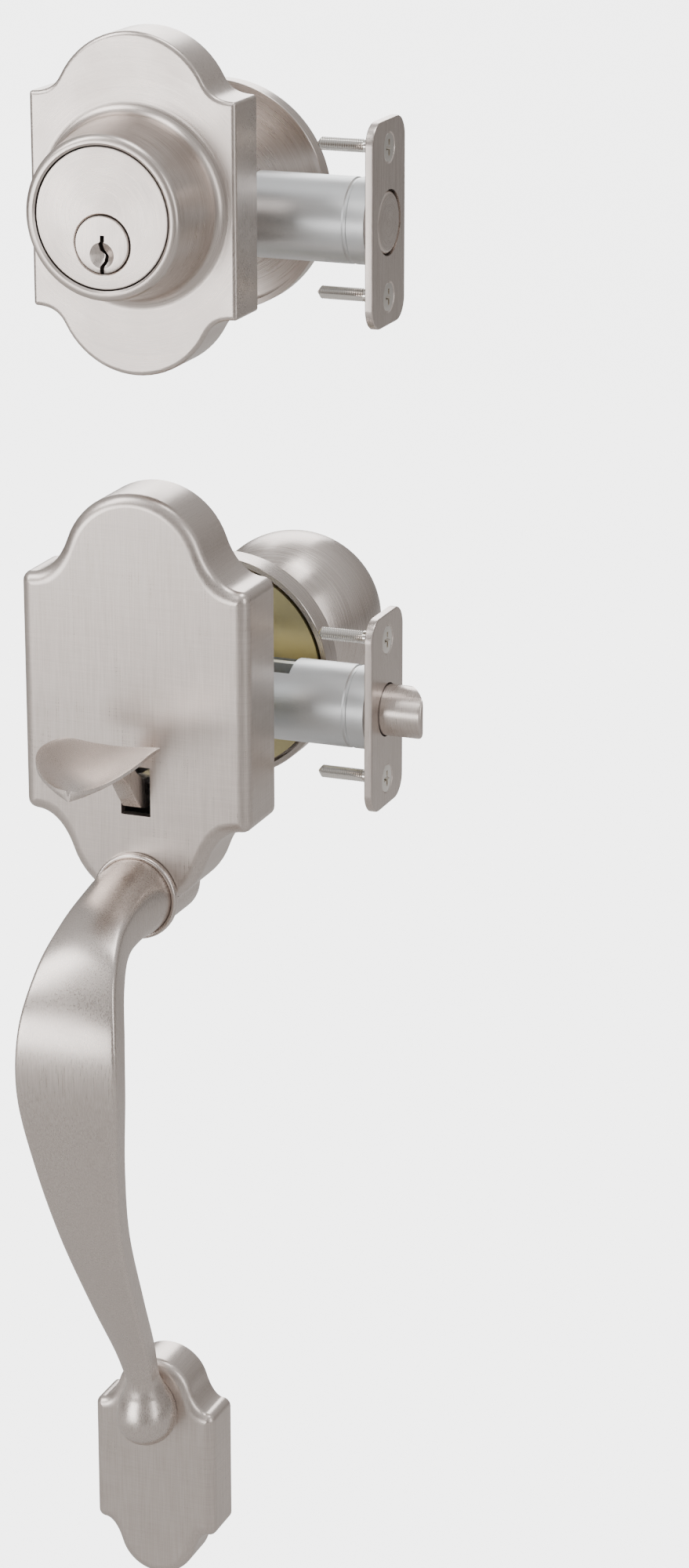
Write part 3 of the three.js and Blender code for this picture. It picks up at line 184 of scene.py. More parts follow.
def flipped(points: Sequence[Point2], across: int) -> list[Point2]:
    """Mirror points.

    Args:
        points: The points.
        across: 0 mirrors left to right, 1 top to bottom.

    Returns:
        The mirrored points in reverse order, so that an outline carries on.
    """
    return [(-x, z) if across == 0 else (x, -z) for x, z in reversed(points)]


class Axis(Enum):
    """The axis that a turned piece is spun about."""

    X = (1.0, 0.0, 0.0)
    Y = (0.0, 1.0, 0.0)

    def place(self, centre: Point2, radius: float, along: float, turn: float = 0.0) -> Point3:
        """Place a profile point.

        Args:
            centre: The axis's place: (x, z) for Y, (y, z) for X.
            radius: Distance from the axis.
            along: Distance along it.
            turn: Angle round the axis in radians.

        Returns:
            The point in millimetres.
        """
        first = centre[0] + radius * math.cos(turn)
        second = centre[1] + radius * math.sin(turn)
        return (first, along, second) if self is Axis.Y else (along, first, second)


# ---------------------------------------------------------------- the modelling bench
class Bench:
    """Runs Blender's modelling operators on one piece at a time. All sizes are millimetres."""

    @staticmethod
    def clear() -> None:
        """Leave edit mode and deselect everything."""
        if bpy.context.object is not None and bpy.context.object.mode != "OBJECT":
            bpy.ops.object.mode_set(mode="OBJECT")
        bpy.ops.object.select_all(action="DESELECT")

    @staticmethod
    def take(piece: Piece) -> None:
        """Make a piece the only selected and active one.

        Args:
            piece: The piece.
        """
        Bench.clear()
        piece.select_set(True)
        bpy.context.view_layer.objects.active = piece

    @staticmethod
    def edit(piece: Piece) -> None:
        """Open a piece in edit mode with all of it selected.

        Args:
            piece: The piece.
        """
        Bench.take(piece)
        bpy.ops.object.mode_set(mode="EDIT")
        bpy.ops.mesh.select_mode(type="VERT")
        bpy.ops.mesh.select_all(action="SELECT")

    @staticmethod
    def close(piece: Piece) -> Piece:
        """Merge doubles, turn the faces outwards and leave edit mode.

        Args:
            piece: The piece in edit mode.

        Returns:
            The piece.
        """
        bpy.ops.mesh.select_all(action="SELECT")
        bpy.ops.mesh.remove_doubles(threshold=0.002 * MM)
        bpy.ops.mesh.normals_make_consistent(inside=False)
        bpy.ops.object.mode_set(mode="OBJECT")
        return piece

    @staticmethod
    def trace(name: str, points: Sequence[Point3], closed: bool = True) -> Piece:
        """Lay a ring of vertices along a line and leave it open in edit mode.

        Args:
            name: The piece's name.
            points: The line's points.
            closed: Whether the last point joins the first.

        Returns:
            The piece, all selected.
        """
        Bench.clear()
        bpy.ops.mesh.primitive_circle_add(vertices=len(points), radius=MM, location=(0, 0, 0))
        piece = bpy.context.object
        piece.name = piece.data.name = name
        for vertex, point in zip(piece.data.vertices, points):
            vertex.co = Vector(point) * MM
        Bench.edit(piece)
        if not closed:
            ends = {0, len(points) - 1}
            Bench.pick(piece, "EDGE", lambda edge: {v.index for v in edge.verts} == ends)
            bpy.ops.mesh.delete(type="EDGE")
            bpy.ops.mesh.select_mode(type="VERT")
            bpy.ops.mesh.select_all(action="SELECT")
        return piece

    @staticmethod
    def pick(piece: Piece, kind: str, wanted: Callable) -> None:
        """Select a piece's faces or edges in edit mode.

        Args:
            piece: The piece in edit mode.
            kind: EDGE or FACE.
            wanted: Says of one edge or face whether it is selected.
        """
        bpy.ops.mesh.select_mode(type=kind)
        bpy.ops.mesh.select_all(action="DESELECT")
        shape = bmesh.from_edit_mesh(piece.data)
        shape.verts.index_update()
        for item in shape.edges if kind == "EDGE" else shape.faces:
            if wanted(item):
                item.select_set(True)
        bmesh.update_edit_mesh(piece.data)

    @staticmethod
    def lathe(
        name: str,
        profile: Sequence[Point2],
        centre: Point2,
        axis: Axis = Axis.Y,
        steps: int = ROUND_STEPS,
        turn: float = 0.0,
    ) -> Piece:
        """Spin a profile into a closed solid.

        Args:
            name: The piece's name.
            profile: (radius, along) points; it ends on the axis or closes on itself.
            centre: The axis's place: (x, z) for Y, (y, z) for X.
            axis: The axis.
            steps: Steps round.
            turn: Angle at which the spin starts, in radians.

        Returns:
            The turned piece.
        """
        on_axis = profile[0][0] == 0 and profile[-1][0] == 0
        line = [axis.place(centre, radius, along, turn) for radius, along in profile]
        piece = Bench.trace(name, line, not on_axis)
        middle = Vector(axis.place(centre, 0, 0)) * MM
        bpy.ops.mesh.spin(steps=steps, angle=math.tau, center=middle, axis=axis.value)
        return Bench.close(piece)

    @staticmethod
    def loft(name: str, rings: Sequence[Sequence[Point3]]) -> Piece:
        """Extrude a filled ring through other rings with as many points each.

        Args:
            name: The piece's name.
            rings: The rings, in order.

        Returns:
            The closed piece.
        """
        piece = Bench.trace(name, rings[0])
        bpy.ops.mesh.edge_face_add()
        order = list(range(len(rings[0])))
        for ring in rings[1:]:
            bpy.ops.mesh.extrude_region_move(TRANSFORM_OT_translate={"value": (0, 0, MM)})
            shape = bmesh.from_edit_mesh(piece.data)
            shape.verts.index_update()
            shape.verts.ensure_lookup_table()
            for i, index in enumerate(order):
                vertex = shape.verts[index]
                if not vertex.select:
                    near = [edge.other_vert(vertex) for edge in vertex.link_edges]
                    vertex = next(other for other in near if other.select)
                vertex.co = Vector(ring[i]) * MM
                order[i] = vertex.index
            bmesh.update_edit_mesh(piece.data)
        return Bench.close(piece)

    @staticmethod
    def block(name: str, low: Point3, high: Point3) -> Piece:
        """Add a box between two corners, for cutting or joining.

        Args:
            name: The box's name.
            low: Its lowest corner.
            high: Its highest corner.

        Returns:
            The box.
        """
        Bench.clear()
        size = [(b - a) * MM for a, b in zip(low, high)]
        middle = [(a + b) / 2 * MM for a, b in zip(low, high)]
        bpy.ops.mesh.primitive_cube_add(size=1, location=(0, 0, 0))
        piece = bpy.context.object
        piece.name = name
        Bench.edit(piece)
        bpy.ops.transform.resize(value=size)
        bpy.ops.transform.translate(value=middle)
        bpy.ops.object.mode_set(mode="OBJECT")
        return piece

    @staticmethod
    def tool(profile: Sequence[Point2], centre: Point2, axis: Axis = Axis.Y) -> Piece:
        """Turn a tool for cutting or joining, its facets out of line with those of any piece."""
        return Bench.lathe("tool", profile, centre, axis, TOOL_STEPS, TOOL_TURN)

    @staticmethod
    def rod(radius: float, start: float, end: float, centre: Point2, axis: Axis = Axis.Y) -> Piece:
        """Turn a plain rod, for cutting or joining."""
        return Bench.tool([(0, start), (radius, start), (radius, end), (0, end)], centre, axis)

    @staticmethod
    def soften(piece: Piece, wanted: Callable, width: float, segments: int = 3) -> None:
        """Bevel chosen edges of a piece.

        Args:
            piece: The piece.
            wanted: Says of an edge whether it is bevelled.
            width: The bevel's width.
            segments: Its segments.
        """
        Bench.edit(piece)
        Bench.pick(piece, "EDGE", wanted)
        bpy.ops.mesh.bevel(offset=width * MM, segments=segments, affect="EDGES")
        Bench.close(piece)

    @staticmethod
    def merge(piece: Piece, *tools: Piece, how: str = "DIFFERENCE") -> Piece:
        """Cut tools from a piece, or join them to it.

        Args:
            piece: The piece that stays.
            tools: The pieces used up.
            how: DIFFERENCE or UNION.

        Returns:
            The piece.
        """
        for tool in tools:
            Bench.take(piece)
            bpy.ops.object.modifier_add(type="BOOLEAN")
            modifier = piece.modifiers[-1]
            modifier.operation = how
            modifier.solver = "EXACT"
            modifier.object = tool
            bpy.ops.object.modifier_apply(modifier=modifier.name)
            bpy.data.objects.remove(tool, do_unlink=True)
        return piece

    @staticmethod
    def copy(piece: Piece, name: str, shift: Point3) -> Piece:
        """Copy a piece with its own mesh and move the copy.

        Args:
            piece: The piece to copy.
            name: The copy's name.
            shift: How far the copy goes.

        Returns:
            The copy, its place in its mesh.
        """
        Bench.take(piece)
        bpy.ops.object.duplicate(linked=False)
        twin = bpy.context.object
        twin.name = twin.data.name = name
        Bench.edit(twin)
        bpy.ops.transform.translate(value=Vector(shift) * MM)
        bpy.ops.object.mode_set(mode="OBJECT")
        return twin

    @staticmethod
    def smooth(piece: Piece, angle: float = SMOOTH_ANGLE) -> None:
        """Shade a piece smooth up to an angle, with its flats kept flat.

        Args:
            piece: The piece.
            angle: Sharpest angle that is shaded smooth.
        """
        Bench.take(piece)
        bpy.ops.object.shade_smooth_by_angle(angle=math.radians(angle))
        bpy.ops.object.modifier_add(type="WEIGHTED_NORMAL")
        modifier = piece.modifiers[-1]
        modifier.keep_sharp = True
        bpy.ops.object.modifier_apply(modifier=modifier.name)


# ---------------------------------------------------------------- finishes
class Grain(Enum):
    """Which way a finish's strokes run."""

    UPRIGHT = "upright"
    LINEN = "linen"
    AROUND_Y = "around_y"
    AROUND_X = "around_x"
    NONE = "none"


class Graph:
    """Adds and links the nodes of one material."""

    def __init__(self, tree: bpy.types.NodeTree) -> None:
        """Start on an empty node tree."""
        tree.nodes.clear()
        self.tree = tree

    def add(self, kind: str, inputs: dict | None = None, **settings: object) -> bpy.types.Node:
        """Add a node.

        Args:
            kind: The node's type.
            inputs: Values or sockets for its inputs, by name or number.
            settings: Its settings.

        Returns:
            The node.
        """
        node = self.tree.nodes.new(kind)
        for key, value in settings.items():
            setattr(node, key, value)
        for key, value in (inputs or {}).items():
            if isinstance(value, bpy.types.NodeSocket):
                self.tree.links.new(value, node.inputs[key])
            else:
                node.inputs[key].default_value = value
        return node

    def vector(self, operation: str, *values: object) -> Socket:
        """Add a vector sum and give its result.

        Args:
            operation: The sum.
            values: Vectors or sockets, in order.

        Returns:
            The result.
        """
        kinds = dict(enumerate(values))
        node = self.add("ShaderNodeVectorMath", kinds, operation=operation)
        return node.outputs["Value" if operation == "LENGTH" else "Vector"]

    def scaled(self, vector: Socket, factor: float) -> Socket:
        """Add a scaling of a vector and give its result."""
        node = self.add("ShaderNodeVectorMath", {0: vector, "Scale": factor}, operation="SCALE")
        return node.outputs["Vector"]

    def sum(self, operation: str, first: object, second: object) -> Socket:
        """Add a sum of two numbers and give its result."""
        return self.add("ShaderNodeMath", {0: first, 1: second}, operation=operation).outputs[0]

    def spread(self, value: Socket, low: float, high: float, to_low: float, to_high: float) -> Socket:
        """Map a stretch of values to another, clamped, and give the result."""
        inputs = {0: value, 1: low, 2: high, 3: to_low, 4: to_high}
        return self.add("ShaderNodeMapRange", inputs).outputs[0]

    def blend(self, factor: object, first: object, second: object, mode: str = "MIX") -> Socket:
        """Mix two colours and give the result."""
        inputs = {"Factor": factor, 6: first, 7: second}
        return self.add("ShaderNodeMix", inputs, data_type="RGBA", blend_type=mode).outputs[2]

    def noise(self, vector: Socket, scale: float, detail: float = 2.0, w: Socket | None = None) -> Socket:
        """Add a noise pattern and give its strength.

        Args:
            vector: Where it is read.
            scale: Its scale.
            detail: Its detail.
            w: The fourth coordinate, for a pattern with no seam round an axis.

        Returns:
            The pattern's value.
        """
        inputs = {"Vector": vector, "Scale": scale, "Detail": detail}
        if w is not None:
            inputs["W"] = w
        kind = "4D" if w is not None else "3D"
        return self.add("ShaderNodeTexNoise", inputs, noise_dimensions=kind).outputs[0]


@dataclass(frozen=True)
class Finish:
    """A metal finish: its tint, its strokes, how the edges wear and the painted shade in its hollows.

    Attributes:
        name: The material's name.
        tint: Colour of the raised strokes.
        shade: Colour between them.
        roughness: Middle roughness.
        grain: Which way the strokes run.
        centre: The strokes' centre in millimetres.
        stroke: Strokes per millimetre across the grain.
        anisotropy: How far a highlight stretches across the strokes.
        relief: Depth of the strokes in the bump.
        cast: A second tint in soft patches, as on a passivated plating.
    """

    name: str
    tint: Colour
    shade: Colour
    roughness: float
    grain: Grain = Grain.NONE
    centre: Point3 = (0.0, 0.0, 0.0)
    stroke: float = 3.0
    anisotropy: float = 0.0
    relief: float = 0.25
    cast: Colour | None = None

    def strokes(self, graph: Graph, place: Socket) -> tuple[Socket, Socket | None]:
        """Make the stroke pattern.

        Args:
            graph: The material's nodes.
            place: Position in millimetres from the strokes' centre.

        Returns:
            The pattern, and the direction across the strokes if they have one.
        """
        if self.grain is Grain.NONE:
            return graph.noise(place, self.stroke, 3.0), None
        if self.grain in (Grain.UPRIGHT, Grain.LINEN):
            normal = graph.add("ShaderNodeNewGeometry").outputs["Normal"]
            across = graph.vector("CROSS_PRODUCT", normal, (0.02, 0.01, 1.0))
            fine = (self.stroke, self.stroke, self.stroke * 0.02)
            upright = graph.noise(graph.vector("MULTIPLY", place, fine), 1.0, 3.0)
            if self.grain is Grain.UPRIGHT:
                return upright, across
            level = (self.stroke * 0.02, self.stroke * 0.02, self.stroke)
            crossing = graph.noise(graph.vector("MULTIPLY", place, level), 1.0, 3.0)
            half = graph.sum("MULTIPLY", crossing, 0.35)
            return graph.sum("ADD", graph.sum("MULTIPLY", upright, 0.65), half), across
        flat = (1.0, 0.0, 1.0) if self.grain is Grain.AROUND_Y else (0.0, 1.0, 1.0)
        along = (0.0, 1.0, 0.0) if self.grain is Grain.AROUND_Y else (1.0, 0.0, 0.0)
        outward = graph.vector("MULTIPLY", place, flat)
        unit = graph.vector("NORMALIZE", outward)
        parts = graph.add("ShaderNodeSeparateXYZ", {0: unit})
        first = parts.outputs[0 if self.grain is Grain.AROUND_Y else 1]
        depth = graph.add("ShaderNodeVectorMath", {0: place, 1: along}, operation="DOT_PRODUCT")
        radius = graph.vector("LENGTH", outward)
        lines = graph.add(
            "ShaderNodeCombineXYZ",
            {
                0: graph.sum("MULTIPLY", radius, self.stroke),
                1: graph.sum("MULTIPLY", depth.outputs["Value"], self.stroke),
                2: graph.sum("MULTIPLY", first, 1.6),
            },
        ).outputs[0]
        turn = graph.sum("MULTIPLY", parts.outputs[2], 1.6)
        across = graph.add(
            "ShaderNodeVectorTransform",
            {0: unit},
            vector_type="VECTOR",
            convert_from="OBJECT",
            convert_to="WORLD",
        ).outputs[0]
        return graph.noise(lines, 1.0, 3.0, turn), across

    def build(self, worn_and_painted_shade: bool = False) -> bpy.types.Material:
        """Make the material.

        Args:
            worn_and_painted_shade: Whether convex edges are burnished as wear and hollows are darkened with
                painted shade.

        Returns:
            The material, made once for each name.
        """
        name = f"{self.name}_worn" if worn_and_painted_shade else self.name
        if name in bpy.data.materials:
            return bpy.data.materials[name]
        material = bpy.data.materials.new(name)
        material.use_nodes = True
        graph = Graph(material.node_tree)
        spot = graph.add("ShaderNodeTexCoord").outputs["Object"]
        place = graph.vector("SUBTRACT", graph.scaled(spot, 1 / MM), self.centre)
        strokes, across = self.strokes(graph, place)
        patches = graph.noise(place, 0.06, 2.0)
        colour = graph.blend(graph.spread(strokes, 0.35, 0.65, 0, 1), (*self.shade, 1), (*self.tint, 1))
        if self.cast is not None:
            hue = graph.spread(graph.noise(place, 0.22, 3.0), 0.42, 0.62, 0, 1)
            colour = graph.blend(hue, colour, (*self.cast, 1))
        rough = graph.spread(strokes, 0.3, 0.7, self.roughness - 0.06, self.roughness + 0.06)
        smudge = graph.spread(patches, 0.35, 0.65, -0.025, 0.025)
        rough = graph.sum("ADD", rough, smudge)
        # Pointiness marks: convex edges lighter and smoother as burnished wear; concave hollows darkened as
        # painted shade.
        if worn_and_painted_shade:
            point = graph.add("ShaderNodeNewGeometry").outputs["Pointiness"]
            edge = graph.spread(point, 0.505, 0.56, 0, 1)
            # Painted shade: where pointiness is low, the colour is pulled towards a darker copy of the shade
            # colour.
            painted_hollow_shade = graph.spread(point, 0.44, 0.495, 1, 0)
            bright = tuple(min(1.0, c * 1.18) for c in self.tint)
            painted_hollow_tint = tuple(c * 0.62 for c in self.shade)
            colour = graph.blend(graph.sum("MULTIPLY", edge, 0.55), colour, (*bright, 1))
            colour = graph.blend(graph.sum("MULTIPLY", painted_hollow_shade, 0.5), colour, (*painted_hollow_tint, 1))
            rough = graph.sum("SUBTRACT", rough, graph.sum("MULTIPLY", edge, 0.07))
        bump = graph.add(
            "ShaderNodeBump", {"Strength": self.relief, "Distance": 0.02 * MM, "Height": strokes}
        ).outputs[0]
        shader = graph.add(
            "ShaderNodeBsdfPrincipled",
            {
                "Base Color": colour,
                "Metallic": 1.0,
                "Roughness": rough,
                "Anisotropic": self.anisotropy,
                "Normal": bump,
            },
        )
        if across is not None and self.anisotropy:
            graph.tree.links.new(across, shader.inputs["Tangent"])
        graph.add("ShaderNodeOutputMaterial", {"Surface": shader.outputs[0]})
        return material


class Finishes:
    """The finishes of this set."""

    NICKEL_TINT: Colour = (0.665, 0.600, 0.560)
    NICKEL_SHADE: Colour = (0.555, 0.492, 0.452)
    NICKEL_STROKE: float = 4.2
    NICKEL_RELIEF: float = 0.14

    def __init__(self, door: Door) -> None:
        """Centre the turned finishes on the lock's axes.

        Args:
            door: The door's planes and axes.
        """
        plate_low, plate_high = corners("deadbolt_plate")
        plate_z = (plate_low.z + plate_high.z) / 2
        self.linen = self.nickel("linen_nickel", Grain.LINEN, (0, 0, 0), 0.33, 0.25)
        self.upright = self.nickel("upright_nickel", Grain.UPRIGHT, (0, 0, 0), 0.31, 0.45)
        self.collar = self.nickel("collar_nickel", Grain.AROUND_Y, (0, 0, plate_z), 0.32, 0.35)
        self.face = self.nickel("spun_face_nickel", Grain.AROUND_Y, (0, 0, plate_z), 0.30, 0.75)
        self.rose = self.nickel("rose_nickel", Grain.AROUND_Y, (0, 0, door.deadbolt_z), 0.31, 0.55)
        self.knob = self.nickel("knob_nickel", Grain.AROUND_Y, (0, 0, door.latch_z), 0.29, 0.7)
        upper_axis = (0, door.middle, door.deadbolt_z)
        lower_axis = (0, door.middle, door.latch_z)
        self.bolt = self.nickel("bolt_nickel", Grain.AROUND_X, upper_axis, 0.3, 0.4)
        self.latch = self.nickel("latch_nickel", Grain.AROUND_X, lower_axis, 0.3, 0.4)
        self.bright = Finish(
            "bright_nickel", (0.86, 0.83, 0.78), (0.74, 0.70, 0.65), 0.14, stroke=0.7, relief=0.06
        )
        self.yellow = Finish(
            "yellow_zinc", (0.78, 0.66, 0.33), (0.60, 0.50, 0.24), 0.27, stroke=1.6, relief=0.12,
            cast=(0.52, 0.60, 0.36),
        )
        self.brass = Finish("turned_brass", (0.78, 0.62, 0.33), (0.62, 0.47, 0.22), 0.28, stroke=2.4)
        self.zinc = Finish(
            "zinc_steel", (0.70, 0.71, 0.72), (0.52, 0.53, 0.55), 0.36, stroke=0.9, relief=0.16,
            cast=(0.60, 0.62, 0.67),
        )
        self.steel = Finish("oiled_steel", (0.36, 0.36, 0.37), (0.22, 0.22, 0.23), 0.34, stroke=1.8)
        self.by_slot = {
            "satin_nickel": self.upright,
            "spun_nickel": self.rose,
            "bright_nickel": self.bright,
            "yellow_zinc": self.yellow,
            "brass": self.brass,
            "zinc_steel": self.zinc,
            "hard_steel": self.steel,
        }

    def nickel(
        self, name: str, grain: Grain, centre: Point3, roughness: float, anisotropy: float
    ) -> Finish:
        """Give a nickel finish with its own strokes."""
        return Finish(
            name,
            self.NICKEL_TINT,
            self.NICKEL_SHADE,
            roughness,
            grain,
            centre,
            self.NICKEL_STROKE,
            anisotropy,
            self.NICKEL_RELIEF,
        )


# ---------------------------------------------------------------- putting pieces on their bodies
class Fitter:
    """Dresses finished pieces and lets each ride on its node's body."""

    def __init__(self, finishes: Finishes) -> None:
        """Read each node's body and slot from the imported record.

        Args:
            finishes: The set's finishes.
        """
        record = frame["record"]
        self.finishes = finishes
        self.body_of = {n: b for b, nodes in record["behaviour"]["bodies"].items() for n in nodes}
        self.slot_of = {part["node"]: part["material_slot"] for part in record["subparts"]}

    def fit(
        self,
        piece: Piece,
        node: str,
        finish: Finish,
        angle: float = SMOOTH_ANGLE,
        worn_and_painted_shade: bool = False,
    ) -> Piece:
        """Finish a piece that stands for a CAD node.

        Args:
            piece: The modelled piece.
            node: The node it stands for.
            finish: Its finish.
            angle: Sharpest angle that is shaded smooth.
            worn_and_painted_shade: Whether its edges are burnished as wear and its hollows darkened with painted
                shade; only for a piece with no large flat faces.

        Returns:
            The piece.
        """
        Bench.smooth(piece, angle)
        piece.name = piece.data.name = f"{node}_finished"
        piece.data.materials.clear()
        piece.data.materials.append(finish.build(worn_and_painted_shade))
        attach(piece, self.body_of[node])
        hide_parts(node)
        log.info("%s: %d faces, %s", piece.name, len(piece.data.polygons), finish.name)
        return piece

    def dress(self, node: str, finish: Finish | None = None) -> None:
        """Give a CAD node that stays its finish.

        Args:
            node: The node's name.
            finish: Its finish, or None for the one of its slot.
        """
        chosen = finish or self.finishes.by_slot[self.slot_of[node]]
        mesh = frame["nodes"][node].data
        mesh.materials.clear()
        mesh.materials.append(chosen.build())

    def dress_the_rest(self) -> None:
        """Dress every CAD node that is still shown."""
        for node, thing in sorted(frame["nodes"].items()):
            if not thing.hide_render:
                self.dress(node)
                log.info("%s: kept from the frame", node)


# ---------------------------------------------------------------- shared shapes
@dataclass(frozen=True)
class ArchedPlate:
    """A hollow plate with an arch above and below and concave shoulders.

    Attributes:
        node: The CAD node whose box gives its width, height and middle.
        corner_height: Height of the corners from the middle.
        shoulder: Where the shoulder meets the arch.
        thickness: Thickness over all.
        wall: Thickness of the walls.
        edge: Radius of the front edge.
        corner: Radius of the corners at the back.
    """

    node: str
    corner_height: float
    shoulder: Point2
    thickness: float
    wall: float
    edge: float
    corner: float

    @property
    def middle(self) -> float:
        """Height of the plate's middle."""
        low, high = corners(self.node)
        return (low.z + high.z) / 2

    def outline(self, inset: float = 0.0) -> list[Point2]:
        """Draw the outline about the plate's middle.

        Args:
            inset: How far it is moved inwards.

        Returns:
            The closed outline's points.
        """
        low, high = corners(self.node)
        arch_height = (high.z - low.z) / 2
        half_width = (high.x - low.x) / 2
        sagitta = arch_height - self.shoulder[1]
        arch_radius = (self.shoulder[0] ** 2 + sagitta**2) / (2 * sagitta)
        arch_centre = arch_height - arch_radius
        angle = math.atan2(self.shoulder[1] - arch_centre, self.shoulder[0])
        radius = arch_radius - inset
        meet = (radius * math.cos(angle), arch_centre + radius * math.sin(angle))
        corner = (half_width - inset, self.corner_height - inset)
        reach = math.dist(corner, meet) / 2.4
        leave = (meet[0] + reach * math.sin(angle), meet[1] - reach * math.cos(angle))
        arrive = (corner[0] - reach, corner[1] + 0.02 * reach)
        degrees = math.degrees(angle)
        bend = max(self.corner - inset, 0.04)
        quarter = arc((corner[0] - bend, corner[1] - bend), bend, 0, 90, 5)
        quarter += curve(quarter[-1], arrive, leave, meet)
        quarter += arc((0, arch_centre), radius, degrees, 90, 12)[1:]
        top = quarter + flipped(quarter[:-1], 0)
        return top + flipped(top, 1)

    def ring(self, inset: float, y: float) -> list[Point3]:
        """Give the outline as a ring at a depth."""
        return [(x, y, self.middle + z) for x, z in self.outline(inset)]

    def shell(self) -> Piece:
        """Model the hollow plate, from its pocket's floor round the rim to its front.

        Returns:
            The plate.
        """
        floor = -self.thickness + self.wall
        side = -self.thickness + self.edge
        rings = [
            self.ring(self.wall + 0.5, floor),
            self.ring(self.wall, floor + 0.5),
            self.ring(self.wall, -0.2),
            self.ring(self.wall - 0.2, 0),
            self.ring(0.2, 0),
            self.ring(0, -0.2),
            self.ring(0, side),
        ]
        for i in range(1, 7):
            turn = math.radians(90 * i / 6)
            inset = EDGE_SPREAD * self.edge * (1 - math.cos(turn))
            rings.append(self.ring(inset, side - self.edge * math.sin(turn)))
        return Bench.loft(self.node, rings)

    def cutter(self, gap: float) -> Piece:
        """Model the plate's outer shape as a cutter, larger by a gap."""
        return Bench.loft("cutter", [self.ring(-gap, -self.thickness - gap), self.ring(-gap, 3)])


@dataclass(frozen=True)
class CrossScrew:
    """A flat-headed screw with a cross recess, along Y or X.

    Attributes:
        axis: The screw's axis.
        outward: Sign of the way its head faces.
        head_radius: Radius of the head.
        head_height: Height of the head.
        shank_radius: Radius of the shank.
    """

    axis: Axis
    outward: int
    head_radius: float
    head_height: float
    shank_radius: float

    def model(
        self, top: float, end: float, centre: Point2, point: float = 0.85, flat: bool = True
    ) -> Piece:
        """Model the screw.

        Args:
            top: Where the head's top is along the axis.
            end: Where the shank ends.
            centre: The axis's place.
            point: The end's radius as a share of the shank's.
            flat: Whether the head is countersunk; a pan head otherwise.

        Returns:
            The screw.
        """
        out = self.outward
        rim = self.head_radius
        under = top - out * self.head_height
        seat = self.shank_radius + 0.1 if flat else rim
        crown = 0.0 if flat else 0.5
        profile = [(0, top), (rim * 0.72, top), (rim - 0.15, top - out * (0.08 + crown))]
        profile += [(rim, top - out * (0.25 + crown)), (seat, under), (self.shank_radius, under)]
        turns = 10
        length = abs(end - under)
        for i in range(turns * 4):
            along = under - out * length * (0.25 + 0.68 * i / (turns * 4 - 1))
            depth = 0.16 if i % 2 else 0.0
            profile.append((self.shank_radius - depth, along))
        profile += [(self.shank_radius * point, end + out * 0.3), (0, end)]
        screw = Bench.lathe("screw", profile, centre, self.axis, SCREW_STEPS)
        return Bench.merge(screw, *self.recess(top, centre))

    def recess(self, top: float, centre: Point2) -> list[Piece]:
        """Model the two tapered blades that cut the cross.

        Args:
            top: Where the head's top is along the axis.
            centre: The axis's place.

        Returns:
            The blades.
        """
        half, thin = self.head_radius * 0.6, self.head_radius * 0.15
        low, high = sorted((top - self.outward * self.head_radius * 0.5, top + self.outward * 0.4))
        blades = []
        for across, up in ((half, thin), (thin, half)):
            if self.axis is Axis.Y:
                start = (centre[0] - across, low, centre[1] - up)
                stop = (centre[0] + across, high, centre[1] + up)
            else:
                start = (low, centre[0] - across, centre[1] - up)
                stop = (high, centre[0] + across, centre[1] + up)
            blade = Bench.block("blade", start, stop)
            Bench.edit(blade)
            inward = Vector(self.axis.value) * -self.outward
            Bench.pick(blade, "FACE", lambda face: face.normal.dot(inward) > 0.9)
            bpy.ops.transform.resize(value=(0.62, 0.62, 0.62))
            bpy.ops.object.mode_set(mode="OBJECT")
            blades.append(blade)
        return blades


